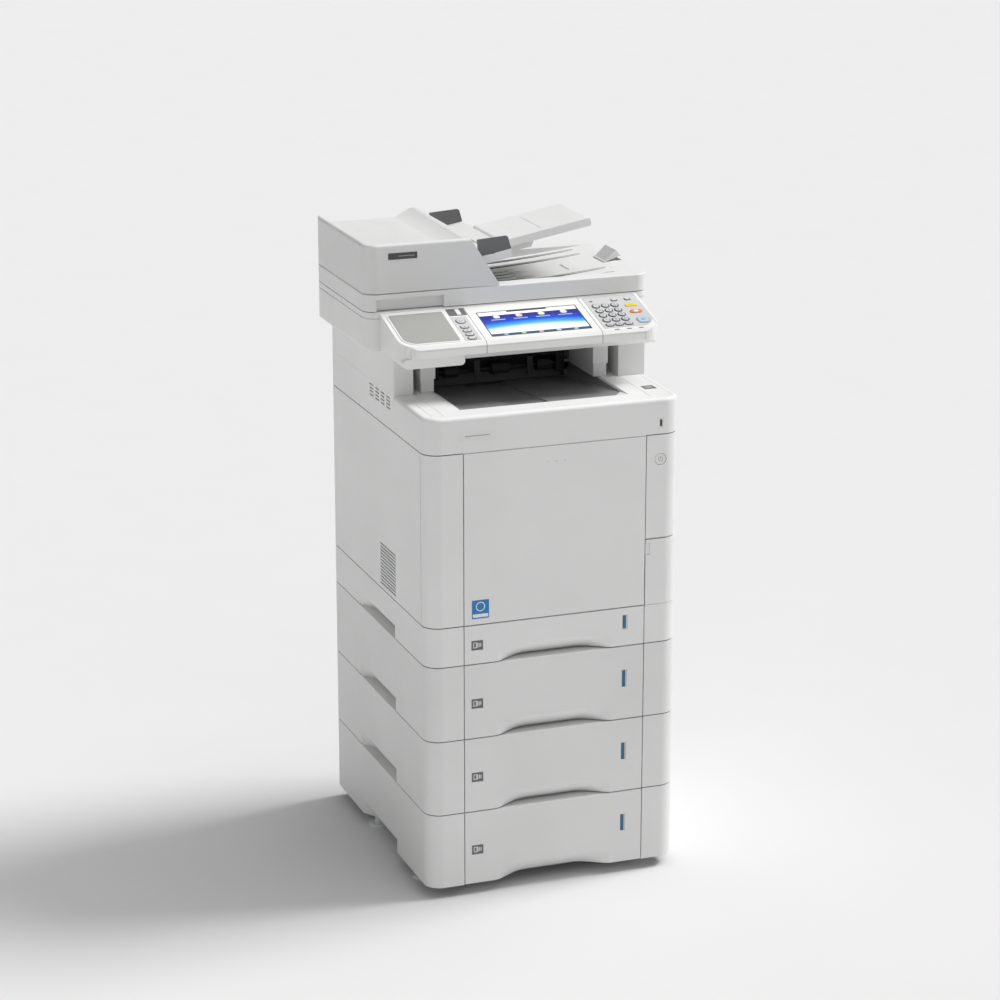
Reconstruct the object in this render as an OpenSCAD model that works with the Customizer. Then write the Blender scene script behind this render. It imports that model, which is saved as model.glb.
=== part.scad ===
// Multifunction photocopier standing on three paper feeder units.
// Millimetres, +Z up, +Y towards the back. The origin is on the floor, under the middle of the machine.

/* [Body] */
// Width of the main body and of the feeder units
body_w = 390; // [370:5:410]
// Depth of the main body, front face to rear cover
body_d = 437; // [430:1:460]
// How far the rear door stands out behind the rear cover
door_bulge = 33; // [28:1:45]
// Radius of the vertical front corners
corner_r = 25; // [15:1:30]
// Thickness of the plastic covers
wall = 2.5; // [2:0.5:3]
// Thickness of the inner sheet metal
sheet = 2; // [1:0.5:2.5]
// Width of the dark line between neighbouring covers
seam = 1.4; // [1:0.1:2]

/* [Stack] */
// Height of the levelling feet
foot_h = 16; // [12:1:24]
// Height of one feeder unit
feeder_h = 113.7; // [105:0.1:120]
// Height of the paper drawer level of the main body
drawer_h = 59.4; // [56:0.1:64]
// Height of the print engine's covers
engine_h = 256.4; // [240:0.1:270]
// Height of the band around the output bay
band_h = 54.1; // [50:0.1:60]
// Height of the columns that carry the scanner
neck_h = 56; // [50:1:70]

/* [Finger grips] */
// Height of the drawers' and the side finger grips
grip_h = 24.5; // [20:0.5:26]
// How deep the drawers' grips go
front_grip_d = 25; // [15:1:26]
// How deep the side grips go
side_grip_d = 21.5; // [12:0.5:24]

/* [Scanner] */
// Width of the scanner and of the document feeder
scan_w = 441; // [430:1:450]
// Depth of the scanner and of the document feeder
scan_d = 247; // [240:1:255]
// Radius of the scanner's vertical corners
scan_r = 20; // [10:1:25]
// Height of the scanner's lower housing
scan_h = 48; // [44:1:56]
// Height of the frame around the glass
frame_h = 9.5; // [8:0.5:12]

/* [Document feeder] */
// Height of the feeder's base, which is also the scanner's lid
lid_h = 25; // [24:0.5:30]
// Height of the feeder's cover above the base
cover_h = 72.8; // [66:0.1:80]
// Slope of the document tray, degrees
tray_tilt = 10.3; // [8:0.1:14]

/* [Control panel] */
// Slope of the panel, degrees
panel_tilt = 15.4; // [12:0.1:20]
// Width of the panel
panel_w = 398; // [390:1:400]
// Half-width of the gap around a key
key_gap = 0.5; // [0.4:0.1:0.8]

/* [Hidden] */
$fn = 48;
eps = 0.01;                                  // overlap that joins solids of one piece
fit = 0.05;                                  // radial clearance of a shaft in its hole
slip = 0.4;                                  // clearance of a sliding piece
y_front = -(body_d + door_bulge) / 2;
y_back = y_front + body_d;
half_w = body_w / 2;
z_unit = [for (i = [0:3]) foot_h + (3 - i) * feeder_h];  // floor of each paper level, top one first
z_door = z_unit[0] + drawer_h;
z_band = z_door + engine_h;
z_deck = z_band + band_h;
z_scan = z_deck + neck_h;
z_frame = z_scan + scan_h;
z_glass = z_frame + frame_h;
z_lid = z_glass + 1.2;
z_feed = z_lid + lid_h;
z_top = z_feed + cover_h;
seam_l = -139;                               // vertical line left of the drawers and the front cover
seam_r = 140.2;                              // and right of them
pillar_d = 25;                               // depth of the front pillars
pillar_in_l = seam_l - seam / 2;
pillar_in_r = seam_r + seam / 2;
front_in_l = seam_l + seam / 2;
front_in_r = seam_r - seam / 2;
groove = 1.2;                                // depth of the line between stacked covers
floor_lift = grip_h + 1.5;                   // height of a level's floor plate above its lower edge
drawer_out = 30;                             // depth of a drawer's front moulding
drawer_l = 345;                              // length of a drawer behind its front
bay_back = y_front + drawer_out + drawer_l + 6;
split_z = 517.7;                             // line between the power column and the waste cover
scan_front = -47;
scan_back = scan_front + scan_d;
half_s = scan_w / 2;
waste_hinge = [188, y_front + 18];
front_hinge = [y_front + 7, z_door + 17.5];  // [y, z]
front_ear_x = 110;                           // the front cover's hinge ears, left and right
rear_hinge = [y_back + 9, 460];              // [y, z]
lid_hinge = [scan_back + 6, z_glass - 2.5];  // [y, z]
cover_hinge = [-half_s + 11, z_feed + 38];    // [x, z]
table_end = 8;                               // right end of the fixed document table
table_z = 916.7;                             // its top surface there
tray_t = 12;                                 // thickness of the table and of the document tray
tray_hinge = [table_end + 8, table_z + 8 * tan(tray_tilt) - tray_t / 2 / cos(tray_tilt)];  // [x, z]
stop_hinge = [191, z_feed - 1.6];            // [x, z]
panel_front = [-147, 811.2];                 // [y, z] of the panel's lower edge
exit_axis = [9, 729];                        // [y, z]
drum_z = 505;
drum_ys = [for (i = [0:3]) -100 + 62 * i];
drum_r = 12;
fuser_axis = [134, 590];                     // [y, z] of the heat roller
fuser_r = 14;
fan_axis = [-59, 457];                       // [y, z]
rod_axis = [72, 802];                        // [y, z]
foot_x = 172;
foot_ys = [-149, 64];
foot_pad_h = 5;
foot_r = 17;
foot_stem_r = 8;
side_grip_y = [-89, 81];
front_grip_x = [-87, 88];
grip_run = 48;                               // length of the run-out at each end of a drawer's grip
side_ramp = 34;                              // length of a side grip's ramp
rail_w = 5;
rail_t = 2.4;
function rail_z(z0, h) = z0 + floor_lift + sheet + (h < 80 ? 12 : 38);
window_lift = 24.7;                          // how much higher the windows sit on the taller drawers
recess = 1.6;                                // depth of the windows' recesses
hinge_pin_r = 2.5;
frame_x = 147;                               // middle of each side plate of the frame
deck_t = 3;
drum_shaft_r = 4;
fuser_shaft_r = 5;
fan_pin_r = 3;
rear_door_x = 146;
inlet_x = [150, 178];
inlet_z = [424, 444];
power_at = [162.7, 636.4];                   // [x, z]
power_r = 8.5;
latch_x = 148;
latch_z = [493, 512];
front_cover_d = 22;
col_l = [-half_w, -165];                     // outer columns of the scanner's stand
col_r = [153, half_w];
block_l = [-152, -129];                      // inner blocks of the stand
block_r = [116, 139.5];
col_front = -94;
block_front = -87;
block_split = 746;                           // line across the inner blocks
bay_y = [-197, 27];
bay_x = [-138, 127];
exit_back = 110;
stand_web = 15;                              // rear face of the inner blocks
belt_r = 15;
glass_x = [-152, 158];
glass_y = [-32, 184];
glass_t = 3;
slot_x = [-196, -178];                       // narrow reading window of the document feeder
ledge = 4;
rod_r = 4;
lid_pin_r = 3;
plate_ys = [[-26.5, -23.5], [178.5, 181.5]]; // side plates of the document feeder
feed_axis = [-90, 900];                      // [x, z] of the feed roller
feed_shaft_r = 3;
tray_len = 140;
tray_y = [19, 137];
table_y = [-35, 187];
table_len = 54 / cos(tray_tilt);
fence_ys = [[-32, -29], [181, 184]];
stop_y = [55, 96];
stop_len = 25;
stop_angle = 43;
stop_pin_r = 1.2;
stop_lip = 11;                               // depth of the flap's turned-down lip
cover_z = z_feed + 1.1;                      // lower edge of the document feeder's cover
cover_foot = -15;                            // x of its slanted right end, at the bottom
cover_head = -60;                            // and at the top
fence_corner = [-0.4, 932];                  // [x, z] of the middle of the guides' round corner
fence_r = 4;
lid_grip_x = [-204, -101];                   // finger grip in the front edge of the lid
lid_grip_d = 9;
panel_skin = 3;
panel_r = 28;
panel_len = (scan_front - panel_front[0]) / cos(panel_tilt);
screen_x = [-60, 94.6];
screen_v = [10, 84];
key_xs = [123.4, 138.2, 152.9];
key_vs = [28.3, 43, 57.2, 72];

shell_white = [0.86, 0.86, 0.86];
dark = [0.13, 0.13, 0.14];
steel = [0.62, 0.63, 0.65];
grey = [0.42, 0.42, 0.43];

// ---------- shared shapes ----------

// Box between two corners, given as [low, high] along each axis
module slab(x, y, z) {
    translate([x[0], y[0], z[0]]) cube([x[1] - x[0], y[1] - y[0], z[1] - z[0]]);
}

// Rectangle with two round front corners
module front_round(x, y, r) {
    translate([x[0], y[0] + r]) square([x[1] - x[0], y[1] - y[0] - r]);
    translate([x[0] + r, y[0]]) square([x[1] - x[0] - 2 * r, r + eps]);
    for (cx = [x[0] + r, x[1] - r]) translate([cx, y[0] + r]) circle(r);
}

// Rectangle with four round corners
module all_round(x, y, r) {
    translate([x[0], y[0] + r]) square([x[1] - x[0], y[1] - y[0] - 2 * r]);
    translate([x[0] + r, y[0]]) square([x[1] - x[0] - 2 * r, y[1] - y[0]]);
    for (cx = [x[0] + r, x[1] - r], cy = [y[0] + r, y[1] - r]) translate([cx, cy]) circle(r);
}

// Plan of the body, drawn smaller by inset
module body_plan(inset = 0) {
    front_round([-half_w + inset, half_w - inset], [y_front + inset, y_back - inset], corner_r - inset);
}

// Plan of the scanner, drawn smaller by inset
module scan_plan(inset = 0) {
    all_round([-half_s + inset, half_s - inset], [scan_front + inset, scan_back - inset], scan_r - inset);
}

module rise(z0, z1) translate([0, 0, z0]) linear_extrude(z1 - z0) children();

// Outline in the Y-Z plane, extruded along X
module along_x(x0, x1) translate([x0, 0, 0]) rotate([90, 0, 90]) linear_extrude(x1 - x0) children();

// Outline in the X-Z plane, extruded along Y
module along_y(y0, y1) translate([0, y1, 0]) rotate([90, 0, 0]) linear_extrude(y1 - y0) children();

module rod_x(x0, x1, y, z, r) translate([x0, y, z]) rotate([0, 90, 0]) cylinder(h = x1 - x0, r = r);
module rod_y(y0, y1, x, z, r) translate([x, y1, z]) rotate([90, 0, 0]) cylinder(h = y1 - y0, r = r);
module rod_z(z0, z1, x, y, r) translate([x, y, z0]) cylinder(h = z1 - z0, r = r);

// Profile of a rounded top edge: what is cut away outside a radius e
function edge_profile(e, steps = 6) = concat([[1, -e]],
    [for (k = [0:steps]) [e * (cos(90 * k / steps) - 1), e * (sin(90 * k / steps) - 1)]], [[-e, 1], [1, 1]]);

// Cuts a rounded top edge along the left, front and right of an outline with round front corners
module edge_cut(x, y, r, e, z) {
    pts = edge_profile(e);
    along_x(x[0] + r, x[1] - r) polygon([for (p = pts) [y[0] - p[0], z + p[1]]]);
    for (s = [0, 1]) {
        along_y(y[0] + r, y[1] + 1) polygon([for (p = pts) [s == 0 ? x[0] - p[0] : x[1] + p[0], z + p[1]]]);
        translate([s == 0 ? x[0] + r : x[1] - r, y[0] + r, z]) rotate([0, 0, s == 0 ? 180 : 270])
            rotate_extrude(angle = 90) polygon([for (p = pts) [r + p[0], p[1]]]);
    }
}

// ---------- finger grips ----------

// Runs smoothly from 0 to 1
function ease(v) = v >= 1 ? 1 : v + v * v - v * v * v;

// How far the grip's lower edge is set back at u along it
function set_back(u, len, depth, run_a, run_b) =
    max(0.4, depth * (run_b > 0 ? ease(u / run_a) * ease((len - u) / run_b) : min(1, u / run_a)));

// Cuts a finger grip: straight along its top, set back along its bottom. It runs out smoothly at both
// ends; with run_b = 0 it has one straight ramp and a square end.
module grip_cut(len, height, depth, run_a, run_b, steps = 8, rows = 5) {
    ramp = run_b > 0 ? steps : 1;
    us = concat([for (k = [0:ramp]) run_a * k / ramp],
        run_b > 0 ? [for (k = [0:steps]) len - run_b * (steps - k) / steps] : [len]);
    ring = rows + 4;
    pts = [for (u = us) let (s = set_back(u, len, depth, run_a, run_b))
        each concat([for (k = [0:rows]) let (t = k / rows)
                [u, s * (0.42 * t + 0.58 * t * t), height * (1 - t)]],
            [[u, s, -1], [u, -1, -1], [u, -1, height]])];
    count = len(us);
    polyhedron(pts, concat([[for (j = [ring - 1:-1:0]) j]], [[for (j = [0:ring - 1]) (count - 1) * ring + j]],
        [for (i = [0:count - 2], j = [0:ring - 1])
            [i * ring + j, i * ring + (j + 1) % ring, (i + 1) * ring + (j + 1) % ring, (i + 1) * ring + j]]));
}

// Side grips of a paper level, on both sides
module side_grips(z0) {
    for (s = [0, 1]) mirror([s, 0, 0]) translate([-half_w, side_grip_y[1], z0]) rotate([0, 0, -90])
        grip_cut(side_grip_y[1] - side_grip_y[0], grip_h, side_grip_d, side_ramp, 0);
}

// ---------- paper levels ----------

module feet() {
    color([0.9, 0.9, 0.9]) for (x = [-foot_x, foot_x], y = foot_ys) {
        rod_z(0, foot_pad_h, x, y, foot_r);
        rod_z(foot_pad_h - eps, foot_h + floor_lift, x, y, foot_stem_r);
    }
}

// Housing of one paper level: skin, floor, top, and the bay that its drawer runs in
module housing(z0, h) {
    top = z0 + h;
    base = z0 + floor_lift;
    difference() {
        union() {
            difference() {
                union() {
                    rise(z0, z0 + seam + eps) body_plan(groove);
                    rise(z0 + seam, top) body_plan();
                }
                rise(z0 - 1, top + 1) body_plan(wall);
            }
            for (z = [base, top - sheet]) rise(z, z + sheet) body_plan(wall - eps);
            for (s = [0, 1]) mirror([s, 0, 0])
                slab([-half_w + groove, -half_w + side_grip_d + wall],
                    [side_grip_y[0] - wall, side_grip_y[1] + wall], [z0 + eps, base + eps]);
            for (x = [pillar_in_l - sheet, pillar_in_r]) slab([x, x + sheet],
                [y_front + wall - eps, bay_back + eps], [z0 + seam, top]);
            slab([pillar_in_l - sheet, pillar_in_r + sheet], [bay_back, bay_back + sheet], [base, top]);
            for (z = [rail_z(z0, h) - slip - rail_t, rail_z(z0, h) + rail_t + slip],
                x = [pillar_in_l - eps, pillar_in_r - rail_w + eps])
                slab([x, x + rail_w], [y_front + drawer_out + 4, bay_back + eps], [z, z + rail_t]);
        }
        slab([pillar_in_l, pillar_in_r], [y_front - 1, y_front + drawer_out + 1], [z0 - 1, top + 1]);
        side_grips(z0);
    }
}

module feeder_housing_2() color(shell_white) housing(z_unit[1], feeder_h);
module feeder_housing_3() color(shell_white) housing(z_unit[2], feeder_h);
module feeder_housing_4() color(shell_white) difference() {
    housing(z_unit[3], feeder_h);
    for (x = [-foot_x, foot_x], y = foot_ys)
        rod_z(foot_h - 1, foot_h + floor_lift, x, y, foot_stem_r + slip);
}

module base_housing() color(shell_white) difference() {
    housing(z_unit[0], drawer_h);
    rod_z(z_door - sheet - 1, z_door + 1, waste_hinge[0], waste_hinge[1], hinge_pin_r + fit);
}

// Front moulding of a drawer, open at the back, with its grip, size window and level gauge
module cassette_front(n) {
    z0 = z_unit[n];
    h = n == 0 ? drawer_h : feeder_h;
    lift = n == 0 ? 0 : window_lift;
    x = [front_in_l, front_in_r];
    y = [y_front, y_front + drawer_out];
    z = [z0 + seam, z0 + h - slip];
    z_grip = z0 + grip_h + wall;
    color(shell_white) difference() {
        slab(x, y, z);
        slab([x[0] + wall, x[1] - wall], [y[0] + wall, y[1] + 1], [z_grip, z[1] - wall]);
        slab([x[0] + wall, front_grip_x[0] - wall], [y[0] + wall, y[1] + 1], [z[0] + wall, z_grip + eps]);
        slab([front_grip_x[1] + wall, x[1] - wall], [y[0] + wall, y[1] + 1], [z[0] + wall, z_grip + eps]);
        translate([front_grip_x[0], y_front, z0])
            grip_cut(front_grip_x[1] - front_grip_x[0], grip_h, front_grip_d, grip_run, grip_run);
        slab([-128, -110], [y_front - 1, y_front + recess], [z0 + 21.6 + lift, z0 + 36.6 + lift]);
        slab([106, 114], [y_front - 1, y_front + recess], [z0 + 26 + lift, z0 + (n == 0 ? 49 : 78)]);
    }
}

module cassette_front_1() cassette_front(0);
module cassette_front_2() cassette_front(1);
module cassette_front_3() cassette_front(2);
module cassette_front_4() cassette_front(3);

// Paper tray of a drawer: open box with runners, side guides and an end guide
module cassette_tray(n) {
    z0 = z_unit[n];
    h = n == 0 ? drawer_h : feeder_h;
    x = [pillar_in_l + rail_w + 1.5, pillar_in_r - rail_w - 1.5];
    y = [y_front + drawer_out, y_front + drawer_out + drawer_l];
    bottom = z0 + floor_lift + sheet + slip;
    top = bottom + (n == 0 ? 24 : 60);
    runner = rail_z(z0, h);
    color(dark) {
        difference() {
            slab(x, y, [bottom, top]);
            slab([x[0] + wall, x[1] - wall], [y[0] + wall, y[1] - wall], [bottom + wall, top + 1]);
        }
        for (s = [x[0] - rail_w - 1.5 + slip, x[1] - eps])
            slab([s, s + rail_w + 1.5 - slip + eps], [y[0] + 6, y[1]], [runner, runner + rail_t]);
        for (s = [-1, 1])
            slab([s * 107 - 1.5, s * 107 + 1.5], [y[0] + 60, y[0] + 240], [bottom + wall - eps, top - 2]);
        slab([-16, 16], [y[0] + 312, y[0] + 315], [bottom + wall - eps, top - 2]);
    }
}

module cassette_tray_1() cassette_tray(0);
module cassette_tray_2() cassette_tray(1);
module cassette_tray_3() cassette_tray(2);
module cassette_tray_4() cassette_tray(3);

// ---------- print engine ----------

// Inner sheet-metal frame: base, two side plates, stays and the fan's bracket
module main_frame() color(steel) difference() {
    union() {
        slab([-half_w + 6, half_w - 6], [y_front + drawer_out, y_back - 6], [z_door, z_door + sheet]);
        for (s = [-1, 1]) slab([s * frame_x - sheet / 2, s * frame_x + sheet / 2],
            [y_front + drawer_out, y_back - 14], [z_door + eps, z_deck - deck_t]);
        slab([-frame_x, frame_x], [y_back - 14 - sheet, y_back - 14], [z_door + eps, z_door + 30]);
        slab([-frame_x, frame_x], [y_front + drawer_out, y_front + drawer_out + sheet],
            [z_door + eps, z_door + 26]);
        slab([-frame_x, frame_x], [y_front + drawer_out, y_front + drawer_out + sheet], [640, 690]);
        slab([-frame_x, frame_x], [y_back - 14 - sheet, y_back - 14], [668, 700]);
        for (s = [-1, 1]) {
            rod_x(s * front_ear_x - 2, s * front_ear_x + 2, front_hinge[0], front_hinge[1], 4.2);
            slab([s * front_ear_x - 2, s * front_ear_x + 2], [front_hinge[0], y_front + drawer_out + eps],
                [front_hinge[1] - 4, front_hinge[1] + 4]);
        }
        rod_x(-176, -174, fan_axis[0], fan_axis[1], 8);
        rod_x(-188, -174 - eps, fan_axis[0], fan_axis[1], fan_pin_r);
        for (a = [90, 210, 330]) translate([0, fan_axis[0], fan_axis[1]]) rotate([a, 0, 0]) {
            slab([-176, -174], [0, 40], [-3, 3]);
            rod_x(-176, -frame_x, 37, 0, 3);
        }
    }
    for (s = [-1, 1]) {
        rod_x(s * front_ear_x - 3, s * front_ear_x + 3, front_hinge[0], front_hinge[1], hinge_pin_r + fit);
        for (y = drum_ys) rod_x(s * frame_x - 3, s * frame_x + 3, y, drum_z, drum_shaft_r + fit);
        for (y = [fuser_axis[0], fuser_axis[0] + 2 * fuser_r + 0.3])
            rod_x(s * frame_x - 3, s * frame_x + 3, y, fuser_axis[1], fuser_shaft_r + fit);
    }
}

// Side cover with its screw posts; s is -1 on the left and 1 on the right
module side_cover(s) {
    y = [y_front + pillar_d + seam / 2 + (s > 0 ? 0.4 : 0), y_back];
    x_in = half_w - wall;
    mirror([s < 0 ? 1 : 0, 0, 0]) {
        slab([x_in, half_w - groove], y, [z_door, z_door + seam + eps]);
        slab([x_in, half_w], y, [z_door + seam, z_band]);
        for (yy = [-150, 150], zz = [z_door + 20, z_band - 25])
            rod_x(frame_x + sheet / 2, x_in + eps, yy, zz, 4);
    }
}

// Horizontal slots of a vent, cut through a side cover
module vent_slots(x, y, z, count, pitch, slot) {
    for (i = [0:count - 1]) slab(x, y, [z + i * pitch, z + i * pitch + slot]);
}

module left_cover() color(shell_white) difference() {
    side_cover(-1);
    vent_slots([-half_w - 1, -half_w + wall + 1], [-95, -23], 424.7, 13, 5.1, 2.5);
}

module right_cover() color(shell_white) difference() {
    side_cover(1);
    vent_slots([half_w - wall - 1, half_w + 1], [60, 140], 440, 13, 5.1, 2.5);
}

module rear_cover() color(shell_white) difference() {
    union() {
        slab([-half_w + wall + 0.3, half_w - wall - 0.3], [y_back - wall, y_back], [z_door, z_band]);
        for (x = [-rear_door_x - 9, rear_door_x + 3]) slab([x, x + 6], [y_back - eps, rear_hinge[0] + 6],
            [rear_hinge[1] - 7, rear_hinge[1] + 7]);
        for (s = [-1, 1], z = [z_door + 12, z_band - 4])
            rod_y(y_back - 14, y_back - wall + eps, s * 100, z, 3);
    }
    slab([-rear_door_x - 1, rear_door_x + 1], [y_back - wall - 1, y_back + 1], [450, 665]);
    slab(inlet_x, [y_back - wall - 1, y_back + 1], inlet_z);
    for (x = [-rear_door_x - 9, rear_door_x + 3])
        rod_x(x - 1, x + 7, rear_hinge[0], rear_hinge[1], hinge_pin_r + fit);
}

// Rear door: a hollow moulding that stands out behind the rear cover
module rear_door() {
    y = y_back + door_bulge;
    outer = [[y_back, 452], [y_back + 20, 452], [y_back + 27, 458], [y, 476], [y, 642], [y - 9, 658],
        [y_back, 663]];
    color(shell_white) {
        difference() {
            along_x(-rear_door_x, rear_door_x) polygon(outer);
            along_x(-rear_door_x + wall, rear_door_x - wall) polygon([[y_back - 1, 452 + wall],
                [y_back + 19, 452 + wall], [y_back + 25, 460], [y - wall, 478], [y - wall, 640],
                [y - 11, 655], [y_back - 1, 660]]);
        }
        for (x = [-rear_door_x, rear_door_x - wall]) rod_x(x, x + wall, rear_hinge[0], rear_hinge[1], 6);
        rod_x(-rear_door_x - 8, -rear_door_x + wall, rear_hinge[0], rear_hinge[1], hinge_pin_r);
        rod_x(rear_door_x - wall, rear_door_x + 8, rear_hinge[0], rear_hinge[1], hinge_pin_r);
    }
}

// Plan of the front corner on one side, between the drawers' seam and the side cover
module corner_plan(x, inset, back) {
    intersection() {
        difference() {
            body_plan(inset);
            body_plan(wall);
        }
        translate([x[0], y_front - 1]) square([x[1] - x[0], back - y_front + 1]);
    }
}

// Corner column: rounded skin, an inner jamb, and a flange at each end
module corner_column(x, jamb_x, z, back) {
    rise(z[0], z[0] + seam + eps) corner_plan(x, groove, back);
    rise(z[0] + seam, z[1]) corner_plan(x, 0, back);
    slab([jamb_x, jamb_x + sheet], [y_front + wall - eps, back], [z[0] + seam, z[1]]);
    for (zz = [z[0] + eps, z[1] - sheet]) rise(zz, zz + sheet - eps) intersection() {
        body_plan(wall - eps);
        translate([x[0], y_front]) square([x[1] - x[0], back - y_front]);
    }
}

module left_pillar() color(shell_white)
    corner_column([-half_w - 1, pillar_in_l], pillar_in_l - sheet, [z_door, z_band],
        y_front + pillar_d - seam / 2);

module power_column() color(shell_white) difference() {
    corner_column([pillar_in_r, half_w + 1], pillar_in_r, [split_z, z_band], y_front + pillar_d - seam / 2);
    rod_y(y_front - 1, y_front + wall + 1, power_at[0], power_at[1], power_r + 0.6);
    rod_z(split_z - 1, split_z + sheet + 1, waste_hinge[0], waste_hinge[1], hinge_pin_r + fit);
}

module power_button() color(shell_white) {
    rod_y(y_front + 0.4, y_front + 9, power_at[0], power_at[1], power_r);
    rod_y(y_front + 4, y_front + 6, power_at[0], power_at[1], power_r + 2.5);
}

// Cover in front of the waste toner box, on two vertical pins at its outer edge
module waste_cover() {
    z = [z_door + slip, split_z - seam];
    back = y_front + pillar_d - 1.5;
    color(shell_white) difference() {
        union() {
            rise(z[0], z[1]) corner_plan([pillar_in_r + 0.2, half_w + 1], 0, back);
            for (zz = [z[0], z[1] - wall]) rise(zz, zz + wall) intersection() {
                body_plan(wall - eps);
                translate([pillar_in_r + 0.2, y_front]) square([half_w - pillar_in_r, back - y_front]);
            }
            rod_z(z_door - sheet, z[0] + wall, waste_hinge[0], waste_hinge[1], hinge_pin_r);
            rod_z(z[1] - wall, split_z + sheet, waste_hinge[0], waste_hinge[1], hinge_pin_r);
        }
        slab([pillar_in_r - 1, latch_x], [y_front - 1, y_front + recess], [latch_z[0], latch_z[1]]);
    }
}

// Front cover of the print engine, hollow at the back, on two pins at its lower edge
module front_cover() {
    x = [front_in_l, front_in_r];
    y = [y_front, y_front + front_cover_d];
    z = [z_door + seam, z_band - slip];
    color(shell_white) difference() {
        union() {
            difference() {
                slab(x, y, z);
                slab([x[0] + wall, x[1] - wall], [y[0] + wall, y[1] + 1], [z[0] + wall, z[1] - wall]);
                for (s = [-1, 1]) slab([s * front_ear_x - 4, s * front_ear_x + 4], [y[0] + wall, y[1] + 1],
                    [z[0] - 1, z[0] + wall + eps]);
            }
            for (s = [-1, 1], d = [-9, 4])
                slab([s * front_ear_x + d, s * front_ear_x + d + 5], [y[0] + 1, y[1]],
                    [z[0] + eps, z[0] + 24]);
            for (zz = [470, 530, 590]) slab([x[0] + 1, x[1] - 1], [y[0] + 1, y[1] - 8], [zz, zz + sheet]);
            for (s = [-1, 1]) rod_x(s * front_ear_x - 5, s * front_ear_x + 5, front_hinge[0], front_hinge[1],
                hinge_pin_r);
        }
        for (dx = [-12, 1, 14]) rod_y(y_front - 1, y_front + 1, dx, z_band - 23, 1.5);
    }
}

// ---------- top of the print engine ----------

// Space of the output bay: it gets deeper to the back, and its sides lean in; drop lowers the whole of it
module bay(drop) {
    top = z_deck + eps - drop;
    front = z_deck - 5 - drop;
    rear = z_deck - 24.5 - drop;
    polyhedron([[-120, bay_y[0] + 7, front], [93, bay_y[0] + 7, front],
        [114, bay_y[1], rear], [-122, bay_y[1], rear],
        [bay_x[0], bay_y[0], top], [bay_x[1], bay_y[0], top],
        [bay_x[1], bay_y[1], top], [bay_x[0], bay_y[1], top]],
        [[0, 1, 2, 3], [7, 6, 5, 4], [4, 5, 1, 0], [6, 7, 3, 2],
        [5, 6, 2], [5, 2, 1], [7, 4, 0], [7, 0, 3]]);
}

// Shallow channel along the bay's floor
module bay_channel(drop) {
    y = [bay_y[0] + 22, bay_y[1]];
    slope = 19.5 / (bay_y[1] - bay_y[0] - 7);
    floor_at = function(yy) z_deck - 5 - (yy - bay_y[0] - 7) * slope;
    along_x(-48, 13) polygon([[y[0], floor_at(y[0]) + 1], [y[0] + 3, floor_at(y[0]) - 2.5 - drop],
        [y[1], floor_at(y[1]) - 2.5 - drop], [y[1], floor_at(y[1]) + 1]]);
}

// Band and deck around the output bay
module top_cover() color(shell_white) difference() {
    union() {
        rise(z_band, z_band + seam + eps) body_plan(groove);
        rise(z_band + seam, z_deck) body_plan();
    }
    rise(z_band - 1, z_deck - deck_t) body_plan(wall);
    edge_cut([-half_w, half_w], [y_front, col_front], corner_r, 6, z_deck);
    bay(0);
    slab([block_l[1] + 0.2, block_r[0] - 0.2], [bay_y[1] - eps, exit_back + 0.5], [z_deck - 10, z_deck + 1]);
    for (col = [0:3]) vent_slots([-half_w - 1, -half_w + wall + 1], [-77 + 26 * col, -59 + 26 * col],
        z_deck - 24, 4, 5.3, 2.4);
    slab([157.6, 165.4], [y_front - 1, y_front + recess], [684, 697]);
    for (x = [-163, -180, 152.5, 186])
        slab([x - 0.4, x + 0.4], [y_front + 16, col_front], [z_deck - 0.8, z_deck + 1]);
    slab([160, 179], [-180, -160], [z_deck - 1.2, z_deck + 1]);
}

// Floor of the output bay
module output_tray() color(shell_white) difference() {
    intersection() {
        union() {
            bay(wall);
            bay_channel(wall);
        }
        slab([-half_w, half_w], bay_y, [z_band, z_deck - deck_t]);
    }
    bay(0);
    bay_channel(0);
}

// Inner block of the scanner's stand, with its narrower lower part
module stand_block(x) {
    difference() {
        slab(x, [block_front, stand_web], [block_split, z_scan]);
        slab([x[0] + wall, x[1] - wall], [block_front + wall, stand_web - wall],
            [block_split + wall, z_scan + 1]);
    }
    slab([x[0] + 1, x[1] - 2], [block_front + 1, stand_web - wall], [z_deck, block_split + eps]);
}

// Columns and walls that carry the scanner above the output bay
module scanner_stand() color(shell_white) {
    for (x = [col_l, col_r]) difference() {
        slab(x, [col_front, y_back], [z_deck, z_scan]);
        slab([x[0] + wall, x[1] - wall], [col_front + wall, y_back - wall], [z_deck - 1, z_scan + 1]);
    }
    slab([col_l[1] - eps, col_r[0] + eps], [y_back - wall, y_back], [z_deck, z_scan]);
    for (x = [block_l, block_r]) stand_block(x);
    for (x = [[col_l[1] - eps, block_l[0] + eps], [block_r[1] - eps, col_r[0] + eps]])
        slab(x, [stand_web - wall, stand_web], [z_deck, z_scan]);
}

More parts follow.
